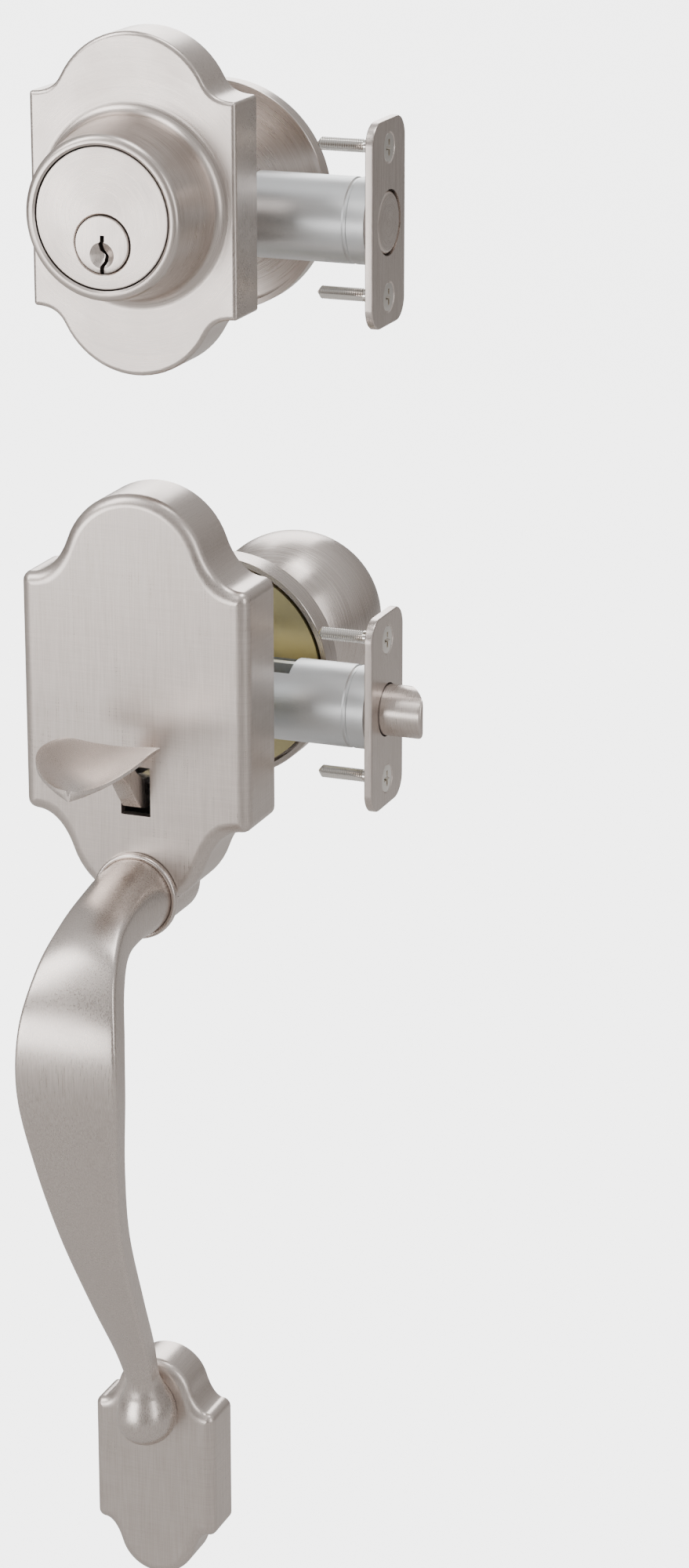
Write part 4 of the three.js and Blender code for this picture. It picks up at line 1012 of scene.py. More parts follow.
# ---------------------------------------------------------------- deadbolt, outside
@dataclass
class DeadboltOutside:
    """The arched plate with its collar, the cylinder and the key plug."""

    fitter: Fitter
    door: Door
    plate: ArchedPlate = ArchedPlate("deadbolt_plate", 29.6, (21.0, 34.3), 15.1, 2.6, 1.1, 1.0)
    base_radius: float = 28.5
    foot_radius: float = 25.0
    rim_radius: float = 22.6
    rim_round: float = 2.0
    bore_radius: float = 19.6
    plug_bore: float = 8.1

    def build(self) -> None:
        """Model and fit the outside pieces."""
        finishes = self.fitter.finishes
        self.fitter.fit(self.collared_plate(), "deadbolt_plate", finishes.collar)
        self.fitter.fit(self.cylinder(), "cylinder_housing", finishes.face)
        self.fitter.fit(self.plug(), "key_plug", finishes.upright)

    def collared_plate(self) -> Piece:
        """Model the plate with its collar.

        Returns:
            The plate.
        """
        front = -self.plate.thickness
        rim = corners("deadbolt_plate")[0].y
        fillet = self.base_radius - self.foot_radius
        base = self.base_radius + 0.4
        collar = [(0, front + 1), (base, front + 1), (base, front - 0.02)]
        collar += arc((self.base_radius, front - fillet), fillet, 90, 180, 10)
        collar += arc((self.rim_radius - self.rim_round, rim + self.rim_round), self.rim_round, 0, -90, 8)
        collar.append((0, rim))
        centre = (0, self.plate.middle)
        bore = [(0, rim - 1), (self.bore_radius + 0.6, rim - 1), (self.bore_radius + 0.6, rim)]
        bore += [(self.bore_radius, rim + 0.5), (self.bore_radius, 1), (0, 1)]
        shell = self.plate.shell()
        boss = Bench.lathe("collar", collar, centre, steps=FINE_STEPS, turn=TOOL_TURN)
        plate = Bench.merge(shell, boss, how="UNION")
        return Bench.merge(plate, Bench.tool(bore, centre))

    def cylinder(self) -> Piece:
        """Model the cylinder with its plug bore and screw holes.

        Returns:
            The cylinder.
        """
        low, high = corners("cylinder_housing")
        face, back = low.y, high.y
        radius, flange = self.bore_radius - 0.35, (high.x - low.x) / 2
        step = -self.plate.thickness + self.plate.wall + 0.3
        profile = [(0, face), (radius - 0.5, face), (radius - 0.15, face + 0.12), (radius, face + 0.5)]
        profile += [(radius, step), (flange, step), (flange, step + 2.5), (radius, step + 2.5)]
        profile += [(radius, back), (0, back)]
        body = Bench.lathe("cylinder", profile, (0, self.plate.middle))
        axis = (0, self.door.deadbolt_z)
        mouth = [(0, face - 1), (self.plug_bore + 0.35, face - 1), (self.plug_bore + 0.35, face)]
        mouth += [(self.plug_bore, face + 0.35), (self.plug_bore, back + 1), (0, back + 1)]
        holes = [Bench.rod(2.4, back - 10, back + 1, (x, axis[1])) for x in (-12.7, 12.7)]
        return Bench.merge(body, Bench.tool(mouth, axis), *holes)

    def plug(self) -> Piece:
        """Model the key plug with its zigzag keyway and dished mouth.

        Returns:
            The plug.
        """
        low, high = corners("key_plug")
        face, back, radius = low.y, high.y, (high.x - low.x) / 2
        z = self.door.deadbolt_z
        profile = [(0, face), (radius - 0.45, face), (radius - 0.12, face + 0.12), (radius, face + 0.45)]
        profile += [(radius, back), (5.0, back), (5.0, back - 3), (0, back - 3)]
        body = Bench.lathe("plug", profile, (0, z))
        dish = [(0, face - 0.3), (3.85, face - 0.3), (3.55, face), (2.9, face + 0.55), (0.25, face + 2.3)]
        dish.append((0, face + 2.3))
        half = 0.62
        steps = [(0.03, -9.0), (0.05, -5.9), (0.75, -4.7), (0.77, -3.2), (-0.45, -1.8), (-0.47, 0.1)]
        steps += [(0.15, 0.9), (0.17, 2.5)]
        slot = [(x + half, dz) for x, dz in steps] + [(x - half, dz) for x, dz in reversed(steps)]
        rings = [[(x, y, z + dz) for x, dz in slot] for y in (face - 1, face + 24)]
        Bench.merge(body, Bench.loft("keyway", rings))
        return Bench.merge(body, Bench.tool(dish, (0, z - 2.9)))


# ---------------------------------------------------------------- deadbolt, inside
@dataclass
class DeadboltInside:
    """The round rose, the thumbturn and the two through screws."""

    fitter: Fitter
    door: Door
    rose_radius: float = 33.0
    rose_height: float = 7.0
    wall: float = 1.6
    step_radius: float = 25.0
    hub_hole: float = 6.6
    screw_x: float = 12.7
    screw: CrossScrew = CrossScrew(Axis.Y, 1, 3.7, 2.2, 2.1)

    def face(self, radius: float) -> float:
        """Give the rose's face inside its step at a radius, as a distance along Y."""
        run = (self.step_radius - radius) / (self.step_radius - self.hub_hole)
        return self.door.inside + self.rose_height - 1 - 1.2 * max(0.0, run)

    def build(self) -> None:
        """Model and fit the inside pieces."""
        finishes = self.fitter.finishes
        self.fitter.fit(self.rose(), "thumbturn_rose", finishes.rose)
        self.fitter.fit(self.turn(), "thumbturn", finishes.upright)
        top = self.face(self.screw_x) - 0.1
        end = corners("through_screw_left")[0].y
        left = self.screw.model(top, end, (-self.screw_x, self.door.deadbolt_z))
        right = Bench.copy(left, "screw_right", (2 * self.screw_x, 0, 0))
        self.fitter.fit(left, "through_screw_left", finishes.bright)
        self.fitter.fit(right, "through_screw_right", finishes.bright)

    def rose(self) -> Piece:
        """Model the rose with its step, its shallow cone and its screw holes.

        Returns:
            The rose.
        """
        inside, wall, radius = self.door.inside, self.wall, self.rose_radius
        face = inside + self.rose_height
        rim = (radius - 2.6, face - 2.6)
        hub = self.face(self.hub_hole)
        profile = [(self.hub_hole, hub - 0.1), (self.hub_hole + 0.3, hub)]
        profile += [(self.step_radius - 1.6, face - 1), (self.step_radius - 0.9, face - 0.93)]
        profile += [(self.step_radius - 0.2, face - 0.6), (self.step_radius + 0.3, face - 0.2)]
        profile += [(self.step_radius + 1, face)]
        profile += arc(rim, 2.6, 90, 0, 10)
        profile += [(radius, inside + 0.15), (radius - 0.15, inside), (radius - wall, inside)]
        profile += arc(rim, 2.6 - wall, 0, 90, 4)
        profile += [(self.step_radius, face - wall), (self.hub_hole, hub - wall)]
        centre = (0, self.door.deadbolt_z)
        rose = Bench.lathe("rose", profile, centre, steps=FINE_STEPS)
        top = self.face(self.screw_x)
        for side in (-self.screw_x, self.screw_x):
            spot = (side, self.door.deadbolt_z)
            boss = Bench.rod(5.0, inside + 1, top - 0.6, spot)
            hole = [(0, inside - 1), (2.4, inside - 1), (2.4, top - 2.3), (3.95, top - 0.3)]
            hole += [(3.95, top - 0.12), (4.25, top + 0.2), (4.25, top + 2), (0, top + 2)]
            Bench.merge(rose, boss, how="UNION")
            Bench.merge(rose, Bench.tool(hole, spot))
        return rose

    def turn(self) -> Piece:
        """Model the rhombus turn on its round hub.

        Returns:
            The thumbturn.
        """
        front = corners("thumbturn")[1].y
        back = front - 12
        z = self.door.deadbolt_z
        rings = []
        steps = [(back, 0.93), (back + 0.45, 1.0), (front - 0.5, 0.955)]
        steps += [(front - 0.12, 0.935), (front, 0.9)]
        for y, share in steps:
            rings.append([(x * share, y, z + dz * (1 - (1 - share) * 0.45)) for x, dz in self.rhombus()])
        grip = Bench.loft("turn", rings)
        start = self.door.inside + 0.6
        seat = self.face(self.hub_hole) - 0.4
        hub = [(0, start), (4.5, start), (4.5, seat), (6.2, seat), (6.2, back - 0.9)]
        hub += arc((5.3, back - 0.9), 0.9, 0, 90, 5) + [(0, back + 0.5)]
        grip = Bench.merge(grip, Bench.tool(hub, (0, z)), how="UNION")
        slot = Bench.block("slot", (-1.3, start - 2, z - 3.5), (1.3, start + 5.8, z + 3.5))
        return Bench.merge(grip, slot)

    def rhombus(self) -> list[Point2]:
        """Draw the turn's rhombus with its rounded tips.

        Returns:
            The outline's points as (x, z).
        """
        low, high = corners("thumbturn")
        wide, tall = (high.x - low.x) / 2, (high.z - low.z) / 2
        quarter = [(wide, 0.0), (wide - 0.03, 0.7), (wide - 0.25, 1.5), (2.35, tall - 1.75)]
        quarter += [(1.75, tall - 0.85), (0.95, tall - 0.2), (0.0, tall)]
        top = quarter + flipped(quarter[:-1], 0)
        return top + flipped(top[1:-1], 1)


# ---------------------------------------------------------------- bolt and latch units
@dataclass
class EdgeUnit:
    """The tubular case, the bolt and the faceplate at the door's edge.

    Attributes:
        prefix: The names' first word.
        height: Height of the unit's axis.
        bolt_node: The bolt's node.
        case_node: The case's node.
        bolt_radius: The bolt's radius.
        hole_gap: Gap round the bolt in the faceplate.
        slanted: Whether the bolt has a latch's slanted face.
        finish: The bolt's finish.
    """

    fitter: Fitter
    door: Door
    prefix: str
    height: float
    bolt_node: str
    case_node: str
    bolt_radius: float
    slanted: bool
    finish: Finish
    hole_gap: float = 0.4
    plate_half: Point2 = (12.7, 28.575)
    plate_thickness: float = 2.4
    screw_pitch: float = 41.3
    screw: CrossScrew = CrossScrew(Axis.X, 1, 4.1, 2.2, 1.9)

    @property
    def centre(self) -> Point2:
        """The unit's axis as (y, z)."""
        return self.door.middle, self.height

    def build(self) -> None:
        """Model and fit the unit's pieces."""
        finishes = self.fitter.finishes
        self.fitter.fit(self.case(), self.case_node, finishes.zinc)
        self.fitter.fit(self.bolt(), self.bolt_node, self.finish)
        self.fitter.fit(self.faceplate(), f"{self.prefix}_faceplate", finishes.upright)
        top = self.door.edge - 0.1
        end = corners(f"{self.prefix}_faceplate_screw_top")[0].x
        upper = self.screw.model(top, end, (self.door.middle, self.height + self.screw_pitch / 2), 0.25)
        lower = Bench.copy(upper, "screw_low", (0, 0, -self.screw_pitch))
        self.fitter.fit(upper, f"{self.prefix}_faceplate_screw_top", finishes.bright)
        self.fitter.fit(lower, f"{self.prefix}_faceplate_screw_bottom", finishes.bright)

    def case(self) -> Piece:
        """Model the tube with its rolled ends, its window for the crank and its cross holes.

        Returns:
            The case.
        """
        low, high = corners(self.case_node)
        start, end, radius = low.x, high.x, (high.y - low.y) / 2
        bore = self.bolt_radius + 0.4
        profile = [(0, start + 0.3), (radius - 2, start + 0.3)]
        profile += arc((radius - 1.2, start + 1.2), 1.2, -90, 0, 5)
        profile += [(radius, end - 7), (radius - 0.35, end - 6.6)]
        profile += [(radius - 0.35, end - 5.9), (radius, end - 5.5)]
        profile += [(radius, end - 0.5), (radius - 0.5, end), (bore + 0.3, end), (bore, end - 0.3)]
        profile += [(bore, start + 2.4), (0, start + 2.4)]
        tube = Bench.lathe("case", profile, self.centre, Axis.X)
        y, z = self.centre
        reach = self.reach()
        window = Bench.block("window", (start + 3.1, y - 7.1, z + 2.2), (reach, y + 7.1, z + radius + 1))
        hub = Bench.rod(6.4, y - 20, y + 20, (0, z))
        holes = [Bench.rod(self.hole_radius(), y - 20, y + 20, (x, z)) for x in self.hole_places()]
        return Bench.merge(tube, window, hub, *holes)

    def reach(self) -> float:
        """How far the case's window runs towards the door's edge."""
        return 33.0 if self.slanted else 22.0

    def hole_radius(self) -> float:
        """Radius of the cross holes that the screws or posts pass."""
        return 4.3 if self.slanted else 2.7

    def hole_places(self) -> tuple[float, float]:
        """Where the cross holes are along the case."""
        return (-22.5, 22.5) if self.slanted else (-12.7, 12.7)

    def bolt(self) -> Piece:
        """Model the bolt with its turned nose, or the latch with its slant.

        Returns:
            The bolt.
        """
        low, high = corners(self.bolt_node)
        start, end, radius = low.x, high.x, self.bolt_radius
        nose = 0.8 if self.slanted else 1.3
        profile = [(0, start), (radius - 0.3, start), (radius, start + 0.3)]
        profile += arc((radius - nose, end - nose), nose, 0, 90, 6)[:-1]
        profile = [*profile, (radius - nose, end), (0, end)]
        bar = Bench.lathe("bolt", profile, self.centre, Axis.X)
        y, z = self.centre
        tongue = Bench.block("tongue", (start - 1, y - 1.5, z - 12), (start + 8.3, y + 1.5, z + 12))
        tools = [tongue]
        if self.slanted:
            edge = self.door.edge
            outline = [(edge + 1, y + 8.4), (end + 1, y - 6.6), (end + 1, y + 8.4)]
            rings = [[(x, side, z + dz) for x, side in outline] for dz in (-9, 9)]
            tools.append(Bench.loft("slant", rings))
        else:
            tools.append(Bench.rod(3.3, start - 1, end - 6, self.centre, Axis.X))
        return Bench.merge(bar, *tools)

    def faceplate(self) -> Piece:
        """Model the rounded faceplate with its countersunk holes.

        Returns:
            The faceplate.
        """
        half_y, half_z = self.plate_half
        corner, front = 6.3, self.door.edge
        back = front - self.plate_thickness
        rings = []
        steps = [(back, 0.25), (back + 0.25, 0), (front - 0.45, 0), (front - 0.14, 0.13), (front, 0.45)]
        for x, inset in steps:
            radius = corner - inset
            quarter = arc((half_y - corner, half_z - corner), radius, 0, 90, 10)
            top = quarter + flipped(quarter, 0)
            ring = top + flipped(top, 1)
            rings.append([(x, self.door.middle + dy, self.height + dz) for dy, dz in ring])
        plate = Bench.loft("faceplate", rings)
        tools = [Bench.rod(self.bolt_radius + self.hole_gap, back - 1, front + 1, self.centre, Axis.X)]
        for side in (-1, 1):
            spot = (self.door.middle, self.height + side * self.screw_pitch / 2)
            sink = [(0, back - 1), (2.2, back - 1), (2.2, front - 2.2), (4.5, front + 0.1)]
            sink += [(4.5, front + 1), (0, front + 1)]
            tools.append(Bench.tool(sink, spot, Axis.X))
        return Bench.merge(plate, *tools)


# ---------------------------------------------------------------- grip handle
@dataclass(frozen=True)
class Station:
    """One place along the grip: its centre, its width and thickness, and how strap-like it is."""

    y: float
    z: float
    width: float
    thick: float
    strap: float = 0.0

    def values(self) -> tuple[float, ...]:
        """Give the station's numbers."""
        return self.y, self.z, self.width, self.thick, self.strap


@dataclass
class Grip:
    """The grip, one sweep from its round neck over the strap to the drop-shaped foot."""

    fitter: Fitter
    upper: ArchedPlate
    lower: ArchedPlate
    corner: float = 1.1
    crown: float = 0.14
    corner_steps: int = 4
    side_steps: int = 4
    face_steps: int = 10
    splits: int = 9
    stations: tuple[Station, ...] = (
        Station(-0.6, -49.8, 23, 23),
        Station(-12, -49.8, 22.8, 22.8),
        Station(-24, -49.8, 22.2, 22.2),
        Station(-36, -50.4, 19.8, 17.6, 0.15),
        Station(-49, -53.4, 20, 12.8, 0.42),
        Station(-59.3, -61.6, 24.5, 9.6, 0.8),
        Station(-66, -76, 29.8, 7.9, 1.0),
        Station(-67, -94, 30.6, 7.4, 1.0),
        Station(-62, -117, 25.5, 6.9, 1.0),
        Station(-53, -141.5, 19.6, 6.9, 0.95),
        Station(-38.6, -168, 14.6, 7.2, 0.85),
        Station(-27.4, -187, 10.9, 7.8, 0.6),
        Station(-22.6, -197.4, 9.2, 8.2, 0.35),
        Station(-21.2, -201, 9.6, 9.4, 0.1),
        Station(-20.2, -205, 12.6, 12.8),
        Station(-19.4, -209.4, 16.4, 17.0),
        Station(-19, -213.6, 17.9, 19.0),
        Station(-19, -217.4, 16.6, 17.6),
        Station(-19, -220.4, 12.6, 13.2),
        Station(-19, -222.2, 7.0, 7.4),
        Station(-19, -222.9, 1.4, 1.4),
    )

    def build(self) -> None:
        """Model and fit the grip."""
        rings = [self.ring(place, heading) for place, heading in self.places()]
        grip = Bench.loft("grip", rings)
        front = -self.upper.thickness
        neck = (0, self.stations[0].z)
        bead = [(10.6, front - 0.25), (12.7, front - 0.25), (12.75, front - 0.9)]
        bead += arc((11.95, front - 1.25), 0.8, 0, -180, 8) + [(10.6, front - 1.6)]
        Bench.merge(grip, Bench.tool(bead, neck), how="UNION")
        Bench.merge(grip, self.upper.cutter(0.15), self.lower.cutter(0.15))
        # Burnished edges as wear, and painted shade darkening the grip's hollows.
        self.fitter.fit(grip, "grip", self.fitter.finishes.upright, 40, worn_and_painted_shade=True)

    def places(self) -> list[tuple[Station, Point2]]:
        """Run a smooth line through the stations.

        Returns:
            Each place along it, with the line's heading as (y, z).
        """
        last = len(self.stations) - 1
        found = []
        for i in range(last):
            before = self.stations[max(i - 1, 0)]
            start, end = self.stations[i], self.stations[i + 1]
            after = self.stations[min(i + 2, last)]
            for k in range(self.splits if i < last - 1 else self.splits + 1):
                t = k / self.splits
                four = zip(before.values(), start.values(), end.values(), after.values())
                found.append(Station(*(self.between(*values, t) for values in four)))
        headed = []
        for i, place in enumerate(found):
            near, far = found[max(i - 1, 0)], found[min(i + 1, len(found) - 1)]
            heading = Vector((far.y - near.y, far.z - near.z)).normalized()
            headed.append((place, (heading.x, heading.y)))
        return headed

    @staticmethod
    def between(a: float, b: float, c: float, d: float, t: float) -> float:
        """Give a smooth value between b and c, with a before and d after.

        Args:
            a: Value before.
            b: Value at the start.
            c: Value at the end.
            d: Value after.
            t: Share of the way.

        Returns:
            The value there.
        """
        rise, fall = (c - a) / 2, (d - b) / 2
        cubic = 2 * (b - c) + rise + fall
        square = 3 * (c - b) - 2 * rise - fall
        return ((cubic * t + square) * t + rise) * t + b

    def flat_section(self, half_width: float, half_thick: float) -> list[Point2]:
        """Draw the strap's section, a crowned bar with narrow rounded corners.

        Args:
            half_width: Half the width.
            half_thick: Half the thickness.

        Returns:
            The section from its right side round by its front.
        """
        bend = min(self.corner, half_thick * 0.6, half_width * 0.6)
        corner = arc((half_width - bend, half_thick - bend), bend, 0, 90, self.corner_steps)
        side = [(half_width, corner[0][1] * i / self.side_steps) for i in range(self.side_steps)]
        edge = half_width - bend
        crown = self.crown * half_thick
        top = []
        for i in range(1, self.face_steps + 1):
            share = 1 - i / self.face_steps
            top.append((edge * share, half_thick + crown * (1 - share * share)))
        quarter = [*side, *corner, *top]
        upper = quarter + flipped(quarter[:-1], 0)
        return upper + flipped(upper[1:-1], 1)

    def ring(self, place: Station, heading: Point2) -> list[Point3]:
        """Draw the section at a place: round at the neck, a crowned strap with creased edges below.

        Args:
            place: The place along the grip.
            heading: The line's heading there as (y, z).

        Returns:
            The section's ring.
        """
        strap = min(1.0, max(0.0, place.strap)) ** 0.6
        half_width, half_thick = place.width / 2, place.thick / 2
        flat = self.flat_section(half_width, half_thick)
        outward = (heading[1], -heading[0])
        points = []
        for i, (flat_x, flat_lift) in enumerate(flat):
            turn = math.tau * i / len(flat)
            x = (1 - strap) * half_width * math.cos(turn) + strap * flat_x
            lift = (1 - strap) * half_thick * math.sin(turn) + strap * flat_lift
            points.append((x, place.y + outward[0] * lift, place.z + outward[1] * lift))
        return points


@dataclass
class Thumbpiece:
    """The dished paddle with the stem that goes through the plate."""

    fitter: Fitter
    half_width: float = 15.5
    back_share: float = 0.92
    widest: float = 0.45
    back: float = -34.5
    tip: float = -64.5
    top: float = 0.4
    thickness: float = 1.7
    lift: float = 1.5
    drop: float = 5.0
    dish: float = 3.4
    stem_half: float = 2.8
    rows: int = 40
    columns: int = 32

    def build(self) -> None:
        """Model and fit the thumbpiece."""
        rings = [self.ring(1 - (1 - i / self.rows) ** 2) for i in range(self.rows + 1)]
        paddle = Bench.loft("paddle", rings)
        piece = Bench.merge(paddle, self.stem(), how="UNION")
        pin = corners("thumb_pivot_pin")
        middle = ((pin[0].y + pin[1].y) / 2, (pin[0].z + pin[1].z) / 2)
        Bench.merge(piece, Bench.rod(1.8, -6, 6, middle, Axis.X))
        # Burnished edges as wear, and painted shade darkening the thumbpiece's hollows.
        self.fitter.fit(piece, "thumbpiece", self.fitter.finishes.upright, 38, worn_and_painted_shade=True)

    def ring(self, out: float) -> list[Point3]:
        """Draw the paddle's section at a share of its reach.

        Args:
            out: Share of the reach.

        Returns:
            The section's ring.
        """
        out = min(out, 0.9995)
        if out < self.widest:
            side = self.back_share + (1 - self.back_share) * math.sin(out / self.widest * math.pi / 2)
        else:
            side = max(0.01, math.sqrt(1 - ((out - self.widest) / (1 - self.widest)) ** 2))
        y = self.back + out * (self.tip - self.back)
        upper, lower = [], []
        for i in range(self.columns + 1):
            across = -1 + 2 * i / self.columns
            dish = self.dish * (1 - across**2) * (0.35 + 0.65 * math.sin(out * math.pi * 0.9))
            height = self.top + self.lift * math.sin(out * math.pi) - self.drop * out**3 - dish
            rim = 0.22 * self.thickness * abs(across) ** 8
            x = across * self.half_width * side
            upper.append((x, y, height - rim))
            lower.append((x, y, height - self.thickness + rim))
        return upper + lower[::-1]

    def stem(self) -> Piece:
        """Model the stem from the paddle's underside to its tail.

        Returns:
            The stem.
        """
        outline = [(-41, -3.6), (-35, -2.2), (-31, -4.4), (-28, -7.6), (-24.5, -11.4), (-20.5, -14.2)]
        outline += [(-9, -16.8), (-2.6, -17.2), (-2.6, -19.6), (-8.6, -23.2), (-13.4, -24), (-19, -23.8)]
        outline += [(-22.6, -22.4), (-26, -18.6), (-29.5, -14.2), (-34, -10.4), (-42, -6.5)]
        rings = [[(x, y, z) for y, z in outline] for x in (-self.stem_half, self.stem_half)]
        stem = Bench.loft("stem", rings)
        flat = Vector((1, 0, 0))
        Bench.soften(stem, lambda edge: any(abs(f.normal.dot(flat)) > 0.9 for f in edge.link_faces), 0.4)
        return stem


@dataclass
class HandleOutside:
    """The upper and lower plates, the thumbpiece, the grip and the threaded posts."""

    fitter: Fitter
    upper: ArchedPlate = ArchedPlate("handle_plate", 35.1, (20.5, 45.7), 19.6, 2.8, 3.0, 3.0)
    lower: ArchedPlate = ArchedPlate("lower_plate", 20.1, (11.6, 27.0), 14.1, 2.6, 2.6, 2.4)
    slot_half: float = 4.5
    slot_height: Point2 = (-26.0, -11.5)
    post_x: float = 22.5

    def build(self) -> None:
        """Model and fit the outside pieces."""
        finishes = self.fitter.finishes
        front = -self.upper.thickness
        low = (-self.slot_half, front - 1, self.slot_height[0])
        high = (self.slot_half, front + self.upper.wall + 1, self.slot_height[1])
        plate = Bench.merge(self.upper.shell(), Bench.block("slot", low, high))
        self.fitter.fit(plate, "handle_plate", finishes.linen)
        self.fitter.fit(self.lower.shell(), "lower_plate", finishes.linen)
        Thumbpiece(self.fitter).build()
        Grip(self.fitter, self.upper, self.lower).build()
        left = self.post()
        right = Bench.copy(left, "post_right", (2 * self.post_x, 0, 0))
        self.fitter.fit(left, "handle_post_left", finishes.yellow)
        self.fitter.fit(right, "handle_post_right", finishes.yellow)

    def post(self) -> Piece:
        """Model a threaded post with its bore and its riveted tail.

        Returns:
            The left post.
        """
        low, high = corners("handle_post_left")
        end, radius, bore = high.y, (high.x - low.x) / 2, 2.4
        profile = [(0, low.y), (bore, low.y), (bore, 0.3), (radius - 0.3, 0.3), (radius, 0.6)]
        profile += [(radius, end - 0.6), (radius - 0.6, end), (bore + 0.5, end)]
        for i in range(12):
            profile.append((bore + (0.2 if i % 2 else 0), end - 0.6 - i * 0.5))
        profile += [(bore, 8), (0, 6)]
        return Bench.lathe("post", profile, (-self.post_x, 0), steps=POST_STEPS)


# ---------------------------------------------------------------- inside knob
@dataclass
class KnobInside:
    """The trumpet rose, the ball knob, the mounting plate and its screws."""

    fitter: Fitter
    door: Door
    rose_radius: float = 33.5
    side: float = 9.0
    wall: float = 1.6
    neck_radius: float = 16.6
    neck_height: float = 17.0
    ball_radius: float = 27.0
    ball_centre: float = 57.0
    knob_neck: float = 13.2
    knob_shank: float = 15.6
    screw_x: float = 22.5
    screw: CrossScrew = CrossScrew(Axis.Y, 1, 3.3, 2.2, 1.9)

    def build(self) -> None:
        """Model and fit the knob's pieces."""
        finishes = self.fitter.finishes
        self.fitter.fit(self.rose(), "knob_rose", finishes.knob)
        self.fitter.fit(self.knob(), "knob", finishes.knob)
        self.fitter.fit(self.mount_plate(), "knob_mount_plate", finishes.yellow)
        low, high = corners("knob_screw_left")
        left = self.screw.model(high.y, low.y, (-self.screw_x, self.door.latch_z), flat=False)
        right = Bench.copy(left, "knob_screw_copy", (2 * self.screw_x, 0, 0))
        self.fitter.fit(left, "knob_screw_left", finishes.bright)
        self.fitter.fit(right, "knob_screw_right", finishes.bright)

    def trumpet(self, offset: float, steps: int = 20) -> list[Point2]:
        """Draw the rose's flare from its rim to its neck, moved inwards by an offset.

        Args:
            offset: How far it is moved inwards.
            steps: Number of stretches.

        Returns:
            The (radius, along) points.
        """
        points = []
        for i in range(steps + 1):
            f = i / steps
            radius = self.rose_radius - 1 + (self.neck_radius - self.rose_radius + 1) * f
            rise = (self.neck_height - self.side) * f**2.4
            points.append((radius, self.door.inside + self.side + rise - offset))
        return points

    def rose(self) -> Piece:
        """Model the rose with its two screw holes and its notch.

        Returns:
            The rose.
        """
        inside, radius, wall = self.door.inside, self.rose_radius, self.wall
        edge = arc((radius - 1.2, inside + self.side - 1.2), 1.2, 0, 82, 6)
        profile = [(radius - 0.15, inside), (radius, inside + 0.15), *edge, *self.trumpet(0)[1:-1]]
        lip = inside + self.neck_height
        profile += [(self.neck_radius + 0.4, lip - 0.1), (self.neck_radius, lip - 0.35)]
        profile += [(self.neck_radius, lip - wall), *self.trumpet(wall)[::-1][1:-1]]
        profile += [(radius - wall, inside + self.side - wall), (radius - wall, inside)]
        centre = (0, self.door.latch_z)
        rose = Bench.lathe("rose", profile, centre, steps=FINE_STEPS)
        top = inside + self.side
        for x in (-self.screw_x, self.screw_x):
            hole = [(0, inside + 3), (4.8, inside + 3), (4.8, top + 0.1), (5.15, top + 0.75)]
            hole += [(5.15, top + 20), (0, top + 20)]
            Bench.merge(rose, Bench.tool(hole, (x, self.door.latch_z)))
        notch = Bench.block("notch", (-radius - 1, inside - 1, -2), (-radius + wall / 2, inside + 2, 2))
        return Bench.merge(rose, notch)

    def knob(self) -> Piece:
        """Model the hollow ball on its neck.

        Returns:
            The knob.
        """
        centre = self.door.inside + self.ball_centre
        start = self.door.inside + self.neck_height - 3
        wall, ball = 2.2, self.ball_radius
        join = math.degrees(math.acos(self.knob_neck / ball))
        inner_join = math.degrees(math.acos((self.knob_neck - wall) / (ball - wall)))
        profile = [(self.knob_shank - wall, start + 0.2), (self.knob_shank - wall + 0.2, start)]
        profile += [(self.knob_shank - 0.3, start), (self.knob_shank, start + 0.3)]
        profile += arc((self.knob_shank - 0.9, start + 3.2), 0.9, 0, 70, 5)
        waist = (self.knob_neck, start + 10)
        leave, arrive = (self.knob_neck + 0.9, start + 4.8), (self.knob_neck, start + 6.6)
        profile += curve(profile[-1], leave, arrive, waist, 8)
        angle = math.radians(join + 2)
        meet = (ball * math.cos(angle), centre - ball * math.sin(angle))
        leave, arrive = (self.knob_neck - 0.1, waist[1] + 2.5), (meet[0] - 0.4, meet[1] - 2.6)
        profile += curve(waist, leave, arrive, meet, 8)
        outer = arc((0, centre), ball, -join + 1.5, 90, 56)
        inner = arc((0, centre), ball - wall, 90, -inner_join, 24)
        profile += [*outer[:-1], (0.0, outer[-1][1])]
        profile.insert(0, (0, start + 0.2))
        body = Bench.lathe("knob", profile, (0, self.door.latch_z), steps=FINE_STEPS)
        core = [(0, start - 1), (self.knob_shank - wall, start - 1), (self.knob_shank - wall, start + 4)]
        core += [(self.knob_neck - wall, start + 9), *inner[:0:-1], (0.0, inner[0][1])]
        return Bench.merge(body, Bench.tool(core, (0, self.door.latch_z)))

    def mount_plate(self) -> Piece:
        """Model the stamped plate with its two tubes.

        Returns:
            The plate.
        """
        inside, z = self.door.inside, self.door.latch_z
        low, high = corners("knob_mount_plate")
        radius, top = (high.x - low.x) / 2, high.y
        profile = [(9, inside + 0.2), (9.2, inside), (radius, inside), (radius, inside + 1.6)]
        profile += [(radius - 0.4, inside + 2), (9.3, inside + 2), (9, inside + 1.7)]
        plate = Bench.lathe("mount", profile, (0, z))
        for x in (-self.screw_x, self.screw_x):
            tube = [(0, inside + 1), (4.5, inside + 1), (4.5, top - 0.4), (4.1, top), (0, top)]
            bore = [(0, inside - 1), (2.2, inside - 1), (2.2, inside + 2), (3.7, inside + 2)]
            bore += [(3.7, top - 0.3), (4.0, top + 1), (0, top + 1)]
            Bench.merge(plate, Bench.tool(tube, (x, z)), how="UNION")
            Bench.merge(plate, Bench.tool(bore, (x, z)))
        return plate


